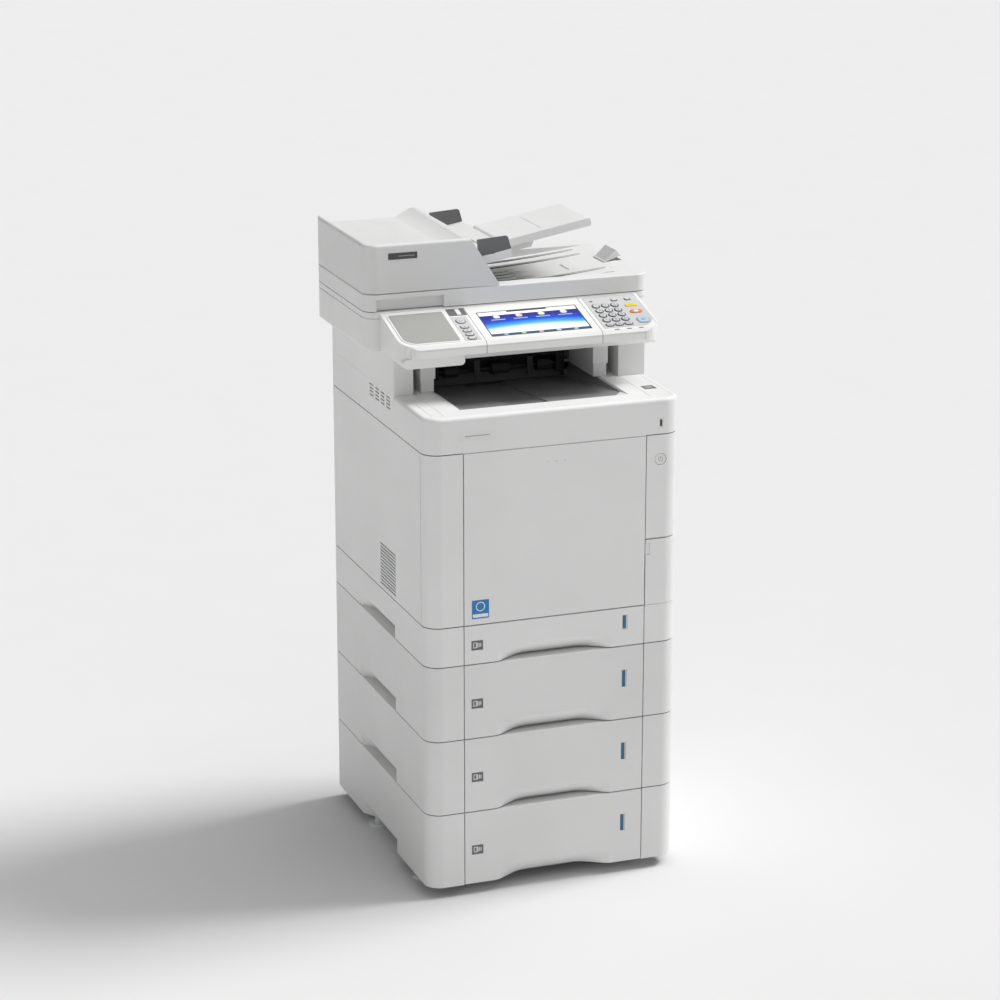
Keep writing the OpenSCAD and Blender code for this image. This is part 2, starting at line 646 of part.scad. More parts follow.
// Exit unit at the back of the bay: box, hood, sensor flags and the two brackets of the exit roller
module exit_unit() color(dark) difference() {
    x = [block_l[1] + 0.5, block_r[0] - 0.5];
    union() {
        difference() {
            slab(x, [bay_y[1] + 0.3, exit_back], [z_deck - 28, z_deck + 15]);
            slab([x[0] + wall, x[1] - wall], [bay_y[1] + 4, exit_back - wall], [z_deck - 29, z_deck + 12]);
        }
        along_x(-94, 92) polygon([[bay_y[1] + 1, z_deck + 14.9], [-2, z_deck + 17], [-4, z_deck + 20.5],
            [bay_y[1] + 1, z_deck + 22]]);
        for (xx = [-97, 92]) slab([xx, xx + 3], [0, bay_y[1] + 1], [z_deck - 8, z_deck + 21]);
        for (xx = [-40, 44]) along_x(xx, xx + 9)
            polygon([[-1, z_deck + 18], [-3.5, z_deck + 18], [-6, z_deck - 9], [-2.5, z_deck - 9]]);
        slab([97, 108], [12, bay_y[1] + 1], [z_deck - 13, z_deck + 19]);
    }
    for (xx = [-98, 91]) rod_x(xx, xx + 5, exit_axis[0], exit_axis[1], 3 + fit);
}

module exit_roller() color(dark) {
    rod_x(-98, 95.5, exit_axis[0], exit_axis[1], 3);
    for (x = [[-85, -62], [-10, 20], [62, 85]]) rod_x(x[0], x[1], exit_axis[0], exit_axis[1], 9);
}

// ---------- inside the print engine ----------

// Roller with a thinner shaft that reaches through both side plates
module roller(y, z, r, half_len, shaft_r) {
    rod_x(-half_len, half_len, y, z, r);
    rod_x(-frame_x - 4, frame_x + 4, y, z, shaft_r);
}

module drum(i) color([0.2, 0.42, 0.5]) {
    roller(drum_ys[i], drum_z, drum_r, 115, drum_shaft_r);
    rod_x(118, 124, drum_ys[i], drum_z, drum_r + 3);
}

module drum_1() drum(0);
module drum_2() drum(1);
module drum_3() drum(2);
module drum_4() drum(3);

// Four toner containers, one above each drum, held between the side plates by their end caps
module toner_containers() color([0.2, 0.2, 0.22]) for (y = drum_ys) {
    along_x(-118, 118) all_round([y - 26, y + 26], [556, 600], 16);
    rod_x(-frame_x + sheet / 2, frame_x - sheet / 2, y, 578, 11);
}

// Transfer belt, closed round its two rollers, and the frame that holds them
module transfer_belt() color([0.1, 0.1, 0.11]) {
    y = [drum_ys[0] - 6, drum_ys[3] + 8];
    z = drum_z + drum_r + 0.3 + belt_r;
    difference() {
        along_x(-112, 112) all_round([y[0] - belt_r, y[1] + belt_r], [z - belt_r, z + belt_r], belt_r - eps);
        along_x(-113, 113) all_round([y[0] - belt_r + 1, y[1] + belt_r - 1], [z - belt_r + 1, z + belt_r - 1],
            belt_r - 1 - eps);
    }
    for (yy = y) {
        rod_x(-112, 112, yy, z, belt_r - 1 + eps);
        rod_x(-frame_x + sheet / 2, frame_x - sheet / 2, yy, z, 4);
    }
    slab([-108, 108], [y[0], y[1]], [z - 2, z + 2]);
}

// Box around the fuser's two rollers, open towards the rear door
module fuser_housing() color(dark) difference() {
    y = [fuser_axis[0] - fuser_r - 5, fuser_axis[0] + 3 * fuser_r + 4];
    z = [fuser_axis[1] - fuser_r - 12, fuser_axis[1] + fuser_r + 12];
    slab([-frame_x + sheet / 2, frame_x - sheet / 2], y, z);
    slab([-130, 130], [y[0] + wall, y[1] + 1], [z[0] + wall, z[1] - wall]);
    slab([-112, 112], [fuser_axis[0] + fuser_r - 3, fuser_axis[0] + fuser_r + 4], [z[0] - 1, z[1] + 1]);
    for (s = [-1, 1], yy = [fuser_axis[0], fuser_axis[0] + 2 * fuser_r + 0.3])
        rod_x(s * 140 - 12, s * 140 + 12, yy, fuser_axis[1], fuser_shaft_r + 1);
}

module heat_roller() color([0.75, 0.35, 0.15])
    roller(fuser_axis[0], fuser_axis[1], fuser_r, 118, fuser_shaft_r);
module pressure_roller() color([0.3, 0.3, 0.32])
    roller(fuser_axis[0] + 2 * fuser_r + 0.3, fuser_axis[1], fuser_r, 118, fuser_shaft_r);

// Laser scanner unit: flat closed box with one slit for each drum
module laser_unit() color([0.25, 0.25, 0.27]) difference() {
    z = [z_door + sheet, z_door + 52];
    slab([-125, 125], [-125, 110], z);
    slab([-122, 122], [-122, 107], [z[0] + 3, z[1] - 3]);
    for (y = drum_ys) slab([-112, 112], [y - 3, y + 3], [z[1] - 4, z[1] + 1]);
}

// Main drive motor with its gearbox, on the outside of the left side plate
module drive_motor() color(steel) {
    slab([-frame_x - 21, -frame_x - sheet / 2], [25, 105], [516, 586]);
    rod_x(-frame_x - 36, -frame_x - 21 + eps, 65, 545, 26);
    rod_x(-frame_x - 40, -frame_x - 36 + eps, 65, 545, 8);
}

module cooling_fan() color(dark) difference() {
    union() {
        rod_x(-187, -178, fan_axis[0], fan_axis[1], 12);
        for (i = [0:6]) translate([0, fan_axis[0], fan_axis[1]]) rotate([i * 360 / 7, 0, 0])
            translate([-182.5, 0, 0]) rotate([0, 0, 32]) slab([-0.8, 0.8], [-6, 6], [10, 31]);
    }
    rod_x(-190, -170, fan_axis[0], fan_axis[1], fan_pin_r + fit);
}

// Power supply board with its parts, and the mains inlet that shows in the rear cover
module power_supply() color([0.16, 0.35, 0.22]) {
    board = [frame_x + 8, frame_x + 10];
    slab(board, [-140, 182], [446, 600]);
    for (y = [-130, 172], z = [456, 592]) rod_x(frame_x + sheet / 2, board[0] + eps, y, z, 3);
    for (p = [[-120, 470, 34], [-70, 520, 40], [0, 480, 46], [60, 545, 30], [110, 500, 26]])
        slab([board[1] - eps, board[1] + p[2] * 0.7], [p[0], p[0] + p[2]], [p[1], p[1] + p[2]]);
    difference() {
        slab([inlet_x[0] + 0.4, inlet_x[1] - 0.4], [y_back - 30, y_back + 1],
            [inlet_z[0] + 0.4, inlet_z[1] - 0.4]);
        slab([inlet_x[0] + 3, inlet_x[1] - 3], [y_back - 14, y_back + 2], [inlet_z[0] + 3, inlet_z[1] - 3]);
    }
    for (dx = [-7, 0, 7]) slab([164 + dx - 0.8, 164 + dx + 0.8], [y_back - 15, y_back - 2], [432, 436]);
    slab([board[0], board[1] + 3], [y_back - 28, y_back - 20], [440, 447]);
}

// ---------- scanner ----------

// Rounded lower edge, the same as edge_cut but from below
module under_cut(x, y, r, e, z) translate([0, 0, 2 * z]) mirror([0, 0, 1]) edge_cut(x, y, r, e, z);

// Lower housing of the scanner, with the guide rod and the rail that carry the carriage
module scanner_housing() color(shell_white) {
    difference() {
        rise(z_scan, z_frame) scan_plan();
        rise(z_scan + wall, z_frame + 1) scan_plan(wall);
        under_cut([-half_s, half_s], [scan_front, scan_back], scan_r, 7, z_scan);
    }
    rise(z_scan + wall - eps, z_scan + wall + 5) difference() {
        scan_plan(wall - 1);
        scan_plan(8);
    }
    rod_x(-half_s + 1, half_s - 1, rod_axis[0], rod_axis[1], rod_r);
    slab([-half_s + 1, half_s - 1], [-30, -26], [z_scan + wall - eps, 805.5]);
}

// Frame around the glass, with the pins that the lid turns on
module scanner_top() color(shell_white) {
    difference() {
        union() {
            rise(z_frame, z_frame + seam + eps) scan_plan(groove);
            rise(z_frame + seam, z_glass) scan_plan();
        }
        rise(z_frame - 1, z_glass - glass_t - 2) scan_plan(wall);
        slab(glass_x, glass_y, [z_glass - glass_t, z_glass + 1]);
        slab([glass_x[0] + ledge, glass_x[1] - ledge], [glass_y[0] + ledge, glass_y[1] - ledge],
            [z_frame, z_glass + 1]);
        slab(slot_x, glass_y, [z_glass - 1, z_glass + 1]);
        slab([slot_x[0] + ledge, slot_x[1] - ledge], [glass_y[0] + ledge, glass_y[1] - ledge],
            [z_frame, z_glass + 1]);
    }
    for (s = [-1, 1], x = [128, 160.4]) mirror([s < 0 ? 1 : 0, 0, 0]) {
        rod_x(x, x + 11.6, lid_hinge[0], lid_hinge[1], 5);
        slab([x, x + 11.6], [scan_back - 1, lid_hinge[0]], [z_glass - 7, z_glass]);
    }
    for (s = [-1, 1]) mirror([s < 0 ? 1 : 0, 0, 0])
        rod_x(139.6 - eps, 160.4 + eps, lid_hinge[0], lid_hinge[1], lid_pin_r);
}

module platen_glass() color([0.75, 0.85, 0.85]) slab([glass_x[0] + 0.2, glass_x[1] - 0.2],
    [glass_y[0] + 0.2, glass_y[1] - 0.2], [z_glass - glass_t, z_glass]);

// Scanning carriage with its lamp slot; it runs on the rod
module carriage() color(dark) difference() {
    union() {
        slab([-200, -160], [-36, 188], [806, 828]);
        slab([-196, -164], [60, 84], [794, 806 + eps]);
    }
    slab([-197, -163], [-33, 185], [809, 826]);
    slab([-184, -176], [-30, 182], [825, 829]);
    rod_x(-201, -159, rod_axis[0], rod_axis[1], rod_r + fit);
}

// ---------- document feeder ----------

// Height of the exit tray's surface at x
function exit_z(x) = 851 + 15.7 * pow(max(0, x + 20) / 225, 1.6);

// Outline above the exit tray's surface, moved up by lift; thick = 0 reaches to above the base
module exit_outline(x0, x1, lift, thick, steps = 12) {
    xs = [for (k = [0:steps]) x0 + (x1 - x0) * k / steps];
    polygon(concat([for (x = xs) [x, exit_z(x) + lift]], thick > 0
        ? [for (k = [steps:-1:0]) [xs[k], exit_z(xs[k]) + lift - thick]]
        : [[x1, z_feed + 2], [x0, z_feed + 2]]));
}

// Places its children in the frame of the document table: x along the slope, the origin on the tray's hinge
module on_tray() translate([tray_hinge[0], 0, tray_hinge[1]]) rotate([0, -tray_tilt, 0]) children();

// Fixed document table: a shell with the slot of the guides and the ears of the tray's hinge
module document_table() {
    edge = -(tray_hinge[0] - table_end) / cos(tray_tilt);
    half_t = tray_t / 2;
    on_tray() {
        difference() {
            slab([edge - table_len, edge], table_y, [-half_t, half_t]);
            slab([edge - table_len + wall, edge - wall], [table_y[0] + wall, table_y[1] - wall],
                [-half_t - 1, half_t - wall]);
            slab([edge - 30, edge - 24], [table_y[0] + 1, table_y[1] - 1], [0, half_t + 1]);
        }
        for (y = [[tray_y[0] - 6.5, tray_y[0] - 0.5], [tray_y[1] + 0.5, tray_y[1] + 6.5]]) {
            slab([edge - eps, 0], y, [-4, 4]);
            rod_y(y[0], y[1], 0, 0, 5.5);
        }
        for (y = [tray_y[0] - 0.5 - eps, tray_y[1] - 6.5]) rod_y(y, y + 7 + eps, 0, 0, hinge_pin_r);
    }
}

// Side plate of the feeder: it carries the feed roller and, at its left end, the cover's hinge
module feeder_plate(y) difference() {
    union() {
        along_y(y[0], y[1]) polygon([[-22, z_feed - 1], [-40, 897], [-40, 903], [-60, 907], [-170, 907],
            [-208, 910], [-211, 900], [-172, 882], [-165, z_feed - 1]]);
        rod_y(y[0], y[1], cover_hinge[0], cover_hinge[1], 5.5);
    }
    rod_y(y[0] - 1, y[1] + 1, cover_hinge[0], cover_hinge[1], hinge_pin_r + fit);
    rod_y(y[0] - 1, y[1] + 1, feed_axis[0], feed_axis[1], feed_shaft_r + fit);
}

// Thin walls that close the finger grip inside the lid's hollow underside
module lid_grip_walls() {
    back = scan_front + lid_grip_d;
    slab([lid_grip_x[0] - wall, lid_grip_x[1] + wall], [back, back + 1.6], [z_lid, z_lid + 6]);
    for (x = [lid_grip_x[0] - wall, lid_grip_x[1]])
        slab([x, x + wall], [scan_front + wall - eps, back + 1], [z_lid, z_lid + 6]);
}

// Base of the document feeder, which is the scanner's lid; its top right part is the exit tray
module adf_base() color(shell_white) {
    barrel = [140, 160];
    difference() {
        rise(z_lid, z_feed) scan_plan();
        edge_cut([-half_s, half_s], [scan_front, scan_back], scan_r, 2, z_feed);
        rise(z_lid - 1, z_lid + 5.8) scan_plan(wall);
        slab([-half_s + 8, -66], [scan_front + 30, scan_back - 8], [z_lid, z_feed - wall - 1]);
        slab([-half_s + wall, -199], [scan_front + 13, scan_back - 13], [z_feed - 1.3, z_feed + 1]);
        along_y(-22, 178) exit_outline(-62, 205, 0, 0);
        slab([87, 109], [17, 32], [853, z_feed + 1]);
        slab([129, 133], [50, 87], [857, z_feed + 1]);
        slab([stop_hinge[0] - 3, half_s - 1.6], [stop_y[0] - 1, stop_y[1] + 1],
            [stop_hinge[1] - stop_lip - 1.6, z_feed + 1]);
        rod_y(stop_y[0] - 3, stop_y[1] + 3, stop_hinge[0], stop_hinge[1], stop_pin_r + fit);
        along_x(lid_grip_x[0], lid_grip_x[1]) polygon([[scan_front - 1, z_feed - 7],
            [scan_front + 6, z_feed - 8], [scan_front + lid_grip_d, z_feed - 12],
            [scan_front + lid_grip_d, z_lid - 1], [scan_front - 1, z_lid - 1]]);
    }
    lid_grip_walls();
    for (y = [-8, 25, 129, 161]) along_y(y - 1.5, y + 1.5) exit_outline(-55, 180, 2, 4);
    for (y = [44, 62, 80, 98]) along_y(y - 1, y + 1) exit_outline(-55, 45, 1.6, 4);
    for (y = [0, 70, 140]) slab([-160, -66 + eps], [y - 1.5, y + 1.5], [z_lid + 5.8, z_feed - wall]);
    for (y = plate_ys) feeder_plate(y);
    document_table();
    for (s = [-1, 1]) mirror([s < 0 ? 1 : 0, 0, 0]) difference() {
        union() {
            rod_x(barrel[0], barrel[1], lid_hinge[0], lid_hinge[1], 5);
            slab(barrel, [scan_back - 1, lid_hinge[0]], [z_lid + 0.1, z_lid + 7]);
        }
        rod_x(barrel[0] - 1, barrel[1] + 1, lid_hinge[0], lid_hinge[1], lid_pin_r + fit);
    }
}

module platen_pad() color([0.93, 0.93, 0.93])
    slab([-165, 170], [-36, 190], [z_glass + 0.3, z_lid + 5.8]);

// Cover of the document feeder, with a dished top
module adf_cover() color(shell_white) {
    ceiling = z_top - 15.5;
    entry = 914.5;
    difference() {
        intersection() {
            along_y(scan_front, scan_back) polygon([[-half_s, cover_z], [-half_s, z_top], [cover_head, z_top],
                [cover_foot, cover_z]]);
            rise(cover_z, z_top) scan_plan();
        }
        intersection() {
            along_y(scan_front + wall, scan_back - wall) polygon([[-half_s, cover_z - 1], [-half_s, ceiling],
                [cover_head + 9 - wall, ceiling], [cover_foot - wall, cover_z - 1]]);
            rise(cover_z - 1, ceiling) scan_plan(wall);
        }
        slab([cover_head, cover_foot + 1], [scan_front + wall, scan_back - wall], [cover_z - 1, entry]);
        hull() {
            slab([-216, -70], [-42, scan_back + 1], [z_top, z_top + 1]);
            slab([-198, -95], [-5, scan_back + 1], [z_top - 13, z_top + 1]);
        }
        edge_cut([-half_s, half_s], [scan_front, scan_back], scan_r, 5, z_top);
    }
    for (i = [0, 1]) {
        inner = i == 0 ? plate_ys[0][1] + 0.5 : plate_ys[1][0] - 0.5;
        y = i == 0 ? [plate_ys[0][0] - 5.4, plate_ys[0][0] - 0.4]
            : [plate_ys[1][1] + 0.4, plate_ys[1][1] + 5.4];
        slab([-half_s + 2, cover_hinge[0] + 4], y, [cover_hinge[1] - 4, cover_hinge[1] + 4]);
        rod_y(min(inner, y[0] + 1), max(inner, y[1] - 1), cover_hinge[0], cover_hinge[1], hinge_pin_r);
    }
}

// Outline of the document tray's right part: round at its hinge, with small radii at its free end
module tray_outline(half_t, r = 3.5) {
    polygon(concat([for (a = [90:10:270]) half_t * [cos(a), sin(a)]],
        [for (a = [-90:22.5:0]) [tray_len - r + r * cos(a), r - half_t + r * sin(a)]],
        [for (a = [0:22.5:90]) [tray_len - r + r * cos(a), half_t - r + r * sin(a)]]));
}

// Hinged right part of the document tray, open below, with two brackets
module document_tray() color(shell_white) on_tray() {
    half_t = tray_t / 2;
    difference() {
        along_y(tray_y[0], tray_y[1]) tray_outline(half_t);
        slab([8, tray_len - 5], [tray_y[0] + wall, tray_y[1] - wall], [-half_t - 1, half_t - wall]);
        slab([16, 66], [tray_y[0] + 14, tray_y[1] - 14], [half_t - 0.5, half_t + 1]);
        for (y = [tray_y[0] - 1, tray_y[1] - 7]) rod_y(y, y + 8, 0, 0, hinge_pin_r + fit);
    }
    for (y = [tray_y[0] + 8, tray_y[1] - 12]) along_y(y, y + 4)
        polygon([[9, half_t - wall + eps], [6, -16], [44, -16], [56, half_t - wall + eps]]);
}

// Side guide of the document table: fence, tongue through the table's slot, and foot below it
module guide(i) color(grey) {
    edge = -(tray_hinge[0] - table_end) / cos(tray_tilt);
    half_t = tray_t / 2;
    mid = (fence_ys[i][0] + fence_ys[i][1]) / 2;
    along_y(fence_ys[i][0], fence_ys[i][1]) polygon(concat([[-39.3, 908.5], [table_end, table_z + 0.3]],
        [for (a = [16:13:94]) fence_corner + fence_r * [cos(a), sin(a)]], [[-44.6, 933.1], [-43, 916]]));
    on_tray() {
        slab([edge - 29.6, edge - 24.4], [mid - 1.4, mid + 1.4], [-1, half_t + 2]);
        slab([edge - 36, edge - 18], [mid - 2, mid + 2], [-3, half_t - wall - 0.5]);
    }
}

module guide_front() guide(0);
module guide_rear() guide(1);

// Paper stop at the end of the exit tray; it folds down into its pocket
module stopper_flap() color(shell_white) translate([stop_hinge[0], 0, stop_hinge[1]])
        rotate([0, -stop_angle, 0]) {
    slab([0, stop_len], stop_y, [-1.2, 1.2]);
    slab([stop_len - 2.4, stop_len], stop_y, [-stop_lip, 0]);
    for (y = [stop_y[0], stop_y[1] - 2]) along_y(y, y + 2)
        polygon([[2, -1], [stop_len - 1, -1], [stop_len - 1, -stop_lip]]);
    rod_y(stop_y[0], stop_y[1], 0, 0, 2);
    rod_y(stop_y[0] - 2.8, stop_y[1] + 2.8, 0, 0, stop_pin_r);
}

module adf_roller() color(dark) {
    rod_y(plate_ys[0][0] - 0.4, plate_ys[1][1] + 0.4, feed_axis[0], feed_axis[1], feed_shaft_r);
    for (y = [[-16, 14], [60, 92], [139, 169]]) rod_y(y[0], y[1], feed_axis[0], feed_axis[1], 12);
}

// ---------- control panel ----------

// Places its children on the panel: x to the right, y up the slope, z out of its surface
module on_panel() translate([0, panel_front[0], panel_front[1]]) rotate([panel_tilt, 0, 0]) children();

// Rounded prism on the panel; c is its middle, d its size, z its lower and upper level
module panel_block(c, d, r, z) translate([c[0], c[1], z[0]]) linear_extrude(z[1] - z[0])
    all_round([-d[0] / 2, d[0] / 2], [-d[1] / 2, d[1] / 2], r);

// Key caps: [middle, size, corner radius]
number_caps = concat(
    [for (x = key_xs, v = key_vs) [[x, v], [8.6, 8.6], 4.2]],
    [for (x = key_xs) [[x, 14], [10, 6], 2.9]],
    [for (x = [157.7, 178.7]) [[x, 87], [7, 5], 1.2]]);
function_caps = concat([[[-90.4, 61.7], [12, 12], 5.9]],
    [for (v = [43.8, 32.5, 21.2, 10.5]) [[-90.3, v], [10.5, 6], 2.9]]);
reset_cap = [[177.5, 68], [19, 8], 3.5];
stop_cap = [[177.8, 48], [18.5, 9], 4];
start_cap = [[178.5, 21.5], [16.5, 15.5], 5];
all_caps = concat(number_caps, function_caps, [reset_cap, stop_cap, start_cap]);

// Draws key caps that share one carrier below the panel's skin
module keys(caps, height = 1.5) for (c = caps) panel_block(c[0], c[1], c[2], [-panel_skin - 2, height]);

// Carrier or flange of keys
module carrier(x, v) slab(x, v, [-panel_skin - 2.4, -panel_skin - 0.3]);

// Panel housing: hollow, open nowhere but at its keys and display
module control_panel() color(shell_white) {
    half_p = panel_w / 2;
    rim = panel_front[1] - 5;
    back = scan_front;
    z_up = panel_front[1] + panel_len * sin(panel_tilt);
    difference() {
        union() {
            intersection() {
                along_x(-half_p, half_p) polygon([[-151, rim - 12], [-151, rim], panel_front, [back, z_up],
                    [back, 786], [-140, 786]]);
                rise(780, z_top) front_round([-half_p, half_p], [-151, back + 1], panel_r);
            }
            along_y(-148, col_front - 1) all_round([-197, -105], [779, 793], 6);
        }
        intersection() {
            along_x(-half_p + 1, half_p - 1) polygon([[-148, rim - 10.5], [-148, rim - 1],
                [-145.8, rim + 2.2],
                [back - wall, z_up - panel_skin / cos(panel_tilt) - wall * tan(panel_tilt)],
                [back - wall, 789], [-139, 789]]);
            rise(780, z_top) front_round([-half_p + wall, half_p - wall], [-148.5, back + 1], panel_r - wall);
        }
        for (x = [-72.7, 105.4]) {
            on_panel() slab([x - 0.4, x + 0.4], [0, panel_len - 1], [-0.7, 1]);
            along_x(x - 0.4, x + 0.4) polygon([[-152, rim - 13], [-150.2, rim - 13], [-150.2, rim + 0.3],
                [panel_front[0] + 0.6, panel_front[1] - 0.6], [panel_front[0], panel_front[1] + 1],
                [-152, rim + 1]]);
        }
        slab([-half_p - 1, half_p + 1], [-152, -150.3], [rim - 2.3, rim - 1.5]);
        on_panel() {
            slab(screen_x, screen_v, [-1.8, 1]);
            slab([-101.4, -73.5], [79.5, panel_len - 2], [-0.8, 1]);
            slab([111.3, 195], [5.5, panel_len - 2], [-0.5, 1]);
            for (c = all_caps)
                panel_block(c[0], c[1] + 2 * key_gap * [1, 1], c[2] + key_gap, [-panel_skin - 1, 2]);
            for (x = [129.4, 148.4, 167.1]) slab([x - 4, x + 4], [-2, 1.5], [-0.6, 1]);
        }
    }
}

module screen() color([0.2, 0.35, 0.6]) on_panel() slab([screen_x[0] + 0.3, screen_x[1] - 0.3],
    [screen_v[0] + 0.3, screen_v[1] - 0.3], [-1.8, -0.4]);

module number_keys() color([0.9, 0.9, 0.9]) on_panel() {
    keys(number_caps);
    carrier([117, 160], [9, 92]);
    carrier([160 - eps, 184], [82, 92]);
}

module function_keys() color([0.9, 0.9, 0.9]) on_panel() {
    keys(function_caps);
    carrier([-98, -82], [6, 69]);
}

module reset_key() color([0.9, 0.8, 0.3]) on_panel() {
    keys([reset_cap]);
    carrier([166.5, 188.5], [62.5, 73.5]);
}

module stop_key() color([0.85, 0.5, 0.3]) on_panel() {
    keys([stop_cap]);
    carrier([167, 188.6], [42, 54]);
}

module start_key() color([0.65, 0.8, 0.9]) on_panel() {
    keys([start_cap]);
    carrier([169, 188.5], [12, 32.5]);
}

feet();
feeder_housing_2();
feeder_housing_3();
feeder_housing_4();
base_housing();
cassette_front_1();
cassette_front_2();
cassette_front_3();
cassette_front_4();
cassette_tray_1();
cassette_tray_2();
cassette_tray_3();
cassette_tray_4();
main_frame();
left_cover();
right_cover();
rear_cover();
rear_door();
left_pillar();
power_column();
power_button();
waste_cover();
front_cover();
top_cover();
output_tray();
scanner_stand();
exit_unit();
exit_roller();
drum_1();
drum_2();
drum_3();
drum_4();
toner_containers();
transfer_belt();
fuser_housing();
heat_roller();
pressure_roller();
laser_unit();
drive_motor();
cooling_fan();
power_supply();
scanner_housing();
scanner_top();
platen_glass();
carriage();
adf_base();
platen_pad();
adf_cover();
document_tray();
guide_front();
guide_rear();
stopper_flap();
adf_roller();
control_panel();
screen();
number_keys();
function_keys();
reset_key();
stop_key();
start_key();
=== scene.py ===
"""Looks of the photocopier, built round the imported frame: materials, small pieces, floor, light, camera.

The scene is in metres in the row frame: +X right, +Y back, +Z up, origin on the floor under the machine's
middle. The pieces are laid out in millimetres and turned into metres with MM.
"""

import math

import bmesh
import bpy
from mathutils import Matrix, Vector


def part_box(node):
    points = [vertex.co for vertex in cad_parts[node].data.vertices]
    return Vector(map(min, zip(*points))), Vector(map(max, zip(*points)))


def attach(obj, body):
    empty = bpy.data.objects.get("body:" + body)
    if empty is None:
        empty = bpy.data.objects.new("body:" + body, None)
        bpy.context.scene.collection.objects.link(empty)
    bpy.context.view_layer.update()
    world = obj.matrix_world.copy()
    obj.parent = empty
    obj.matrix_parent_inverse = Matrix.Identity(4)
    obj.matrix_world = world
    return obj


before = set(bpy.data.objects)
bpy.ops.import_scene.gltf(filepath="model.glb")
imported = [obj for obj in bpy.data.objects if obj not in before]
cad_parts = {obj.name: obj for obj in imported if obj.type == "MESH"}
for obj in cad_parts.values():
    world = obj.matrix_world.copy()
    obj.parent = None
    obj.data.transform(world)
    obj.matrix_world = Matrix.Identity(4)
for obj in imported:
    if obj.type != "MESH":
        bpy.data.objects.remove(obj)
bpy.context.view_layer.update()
MM = 0.001

# ---------- materials ----------

WHITE = (0.82, 0.82, 0.815)
# Nearly all values of a noise texture lie between these two
NOISE_LOW, NOISE_HIGH = 0.3, 0.7
GRAIN_STRENGTH, BRUSH_STRENGTH = 0.35, 0.15


def new_material(name):
    """A material with its node tree and its shader node."""
    mat = bpy.data.materials.new(name)
    mat.use_nodes = True
    tree = mat.node_tree
    return mat, tree, tree.nodes["Principled BSDF"]


def noise(tree, scale, detail, rough=0.5):
    """A noise texture in the object's own coordinates, which are the row frame's metres."""
    coord = tree.nodes.new("ShaderNodeTexCoord")
    tex = tree.nodes.new("ShaderNodeTexNoise")
    tex.inputs["Scale"].default_value = scale
    tex.inputs["Detail"].default_value = detail
    tex.inputs["Roughness"].default_value = rough
    tree.links.new(coord.outputs["Object"], tex.inputs["Vector"])
    return tex.outputs["Fac"]


def remap(tree, value, low, high):
    """Stretches a noise value over the range from low to high."""
    node = tree.nodes.new("ShaderNodeMapRange")
    node.inputs["From Min"].default_value = NOISE_LOW
    node.inputs["From Max"].default_value = NOISE_HIGH
    node.inputs["To Min"].default_value = low
    node.inputs["To Max"].default_value = high
    tree.links.new(value, node.inputs["Value"])
    return node.outputs["Result"]


def mix(tree, factor, a, b):
    """Blend of two colours."""
    node = tree.nodes.new("ShaderNodeMix")
    node.data_type = "RGBA"
    node.inputs["A"].default_value = (*a, 1)
    node.inputs["B"].default_value = (*b, 1)
    tree.links.new(factor, node.inputs["Factor"])
    return node.outputs["Result"]


def bump(tree, shader, height, strength, distance):
    node = tree.nodes.new("ShaderNodeBump")
    node.inputs["Strength"].default_value = strength
    node.inputs["Distance"].default_value = distance
    tree.links.new(height, node.inputs["Height"])
    tree.links.new(node.outputs["Normal"], shader.inputs["Normal"])


def scaled(color, k):
    """The colour made lighter or darker by a factor."""
    return tuple(min(1.0, c * k) for c in color)


def moulded(name, color, rough, grain=1100, depth=0.00012, mottle=0.03, coat=0.0, spread=0.06):
    """Moulded plastic or rubber: spark-eroded grain, slow colour drift, and uneven gloss."""
    mat, tree, shader = new_material(name)
    drift = remap(tree, noise(tree, 6, 4), 0.0, 1.0)
    tint = mix(tree, drift, scaled(color, 1 - mottle), scaled(color, 1 + mottle))
    tree.links.new(tint, shader.inputs["Base Color"])
    gloss = remap(tree, noise(tree, 38, 5, 0.65), rough - spread, rough + spread)
    tree.links.new(gloss, shader.inputs["Roughness"])
    shader.inputs["Coat Weight"].default_value = coat
    bump(tree, shader, noise(tree, grain, 2, 0.6), GRAIN_STRENGTH, depth)
    return mat


def brushed(name, color, axis, rough=0.35):
    """Sheet metal with rolling marks along one axis."""
    along, across = 12, 900
    mat, tree, shader = new_material(name)
    coord = tree.nodes.new("ShaderNodeTexCoord")
    mapping = tree.nodes.new("ShaderNodeMapping")
    mapping.inputs["Scale"].default_value = tuple(along if i == axis else across for i in range(3))
    tex = tree.nodes.new("ShaderNodeTexNoise")
    tex.inputs["Scale"].default_value = 1.0
    tree.links.new(coord.outputs["Object"], mapping.inputs["Vector"])
    tree.links.new(mapping.outputs["Vector"], tex.inputs["Vector"])
    drift = remap(tree, noise(tree, 25, 3), 0.0, 1.0)
    tint = mix(tree, drift, scaled(color, 0.9), scaled(color, 1.08))
    tree.links.new(tint, shader.inputs["Base Color"])
    gloss = remap(tree, tex.outputs["Fac"], rough - 0.08, rough + 0.1)
    tree.links.new(gloss, shader.inputs["Roughness"])
    shader.inputs["Metallic"].default_value = 1.0
    bump(tree, shader, tex.outputs["Fac"], BRUSH_STRENGTH, 0.0001)
    return mat


def clear(name, color, rough, alpha):
    """Glass or translucent plastic with faint smears in its gloss."""
    mat, tree, shader = new_material(name)
    shader.inputs["Base Color"].default_value = (*color, 1)
    smears = remap(tree, noise(tree, 14, 5, 0.7), rough * 0.6, rough * 1.6)
    tree.links.new(smears, shader.inputs["Roughness"])
    shader.inputs["Alpha"].default_value = alpha
    return mat


def printed(name, color, rough=0.5, gloss=0.0):
    """Printed label or film: even ink with a faint paper grain."""
    return moulded(name, color, rough, grain=2600, depth=0.00002, mottle=0.015, coat=gloss, spread=0.04)


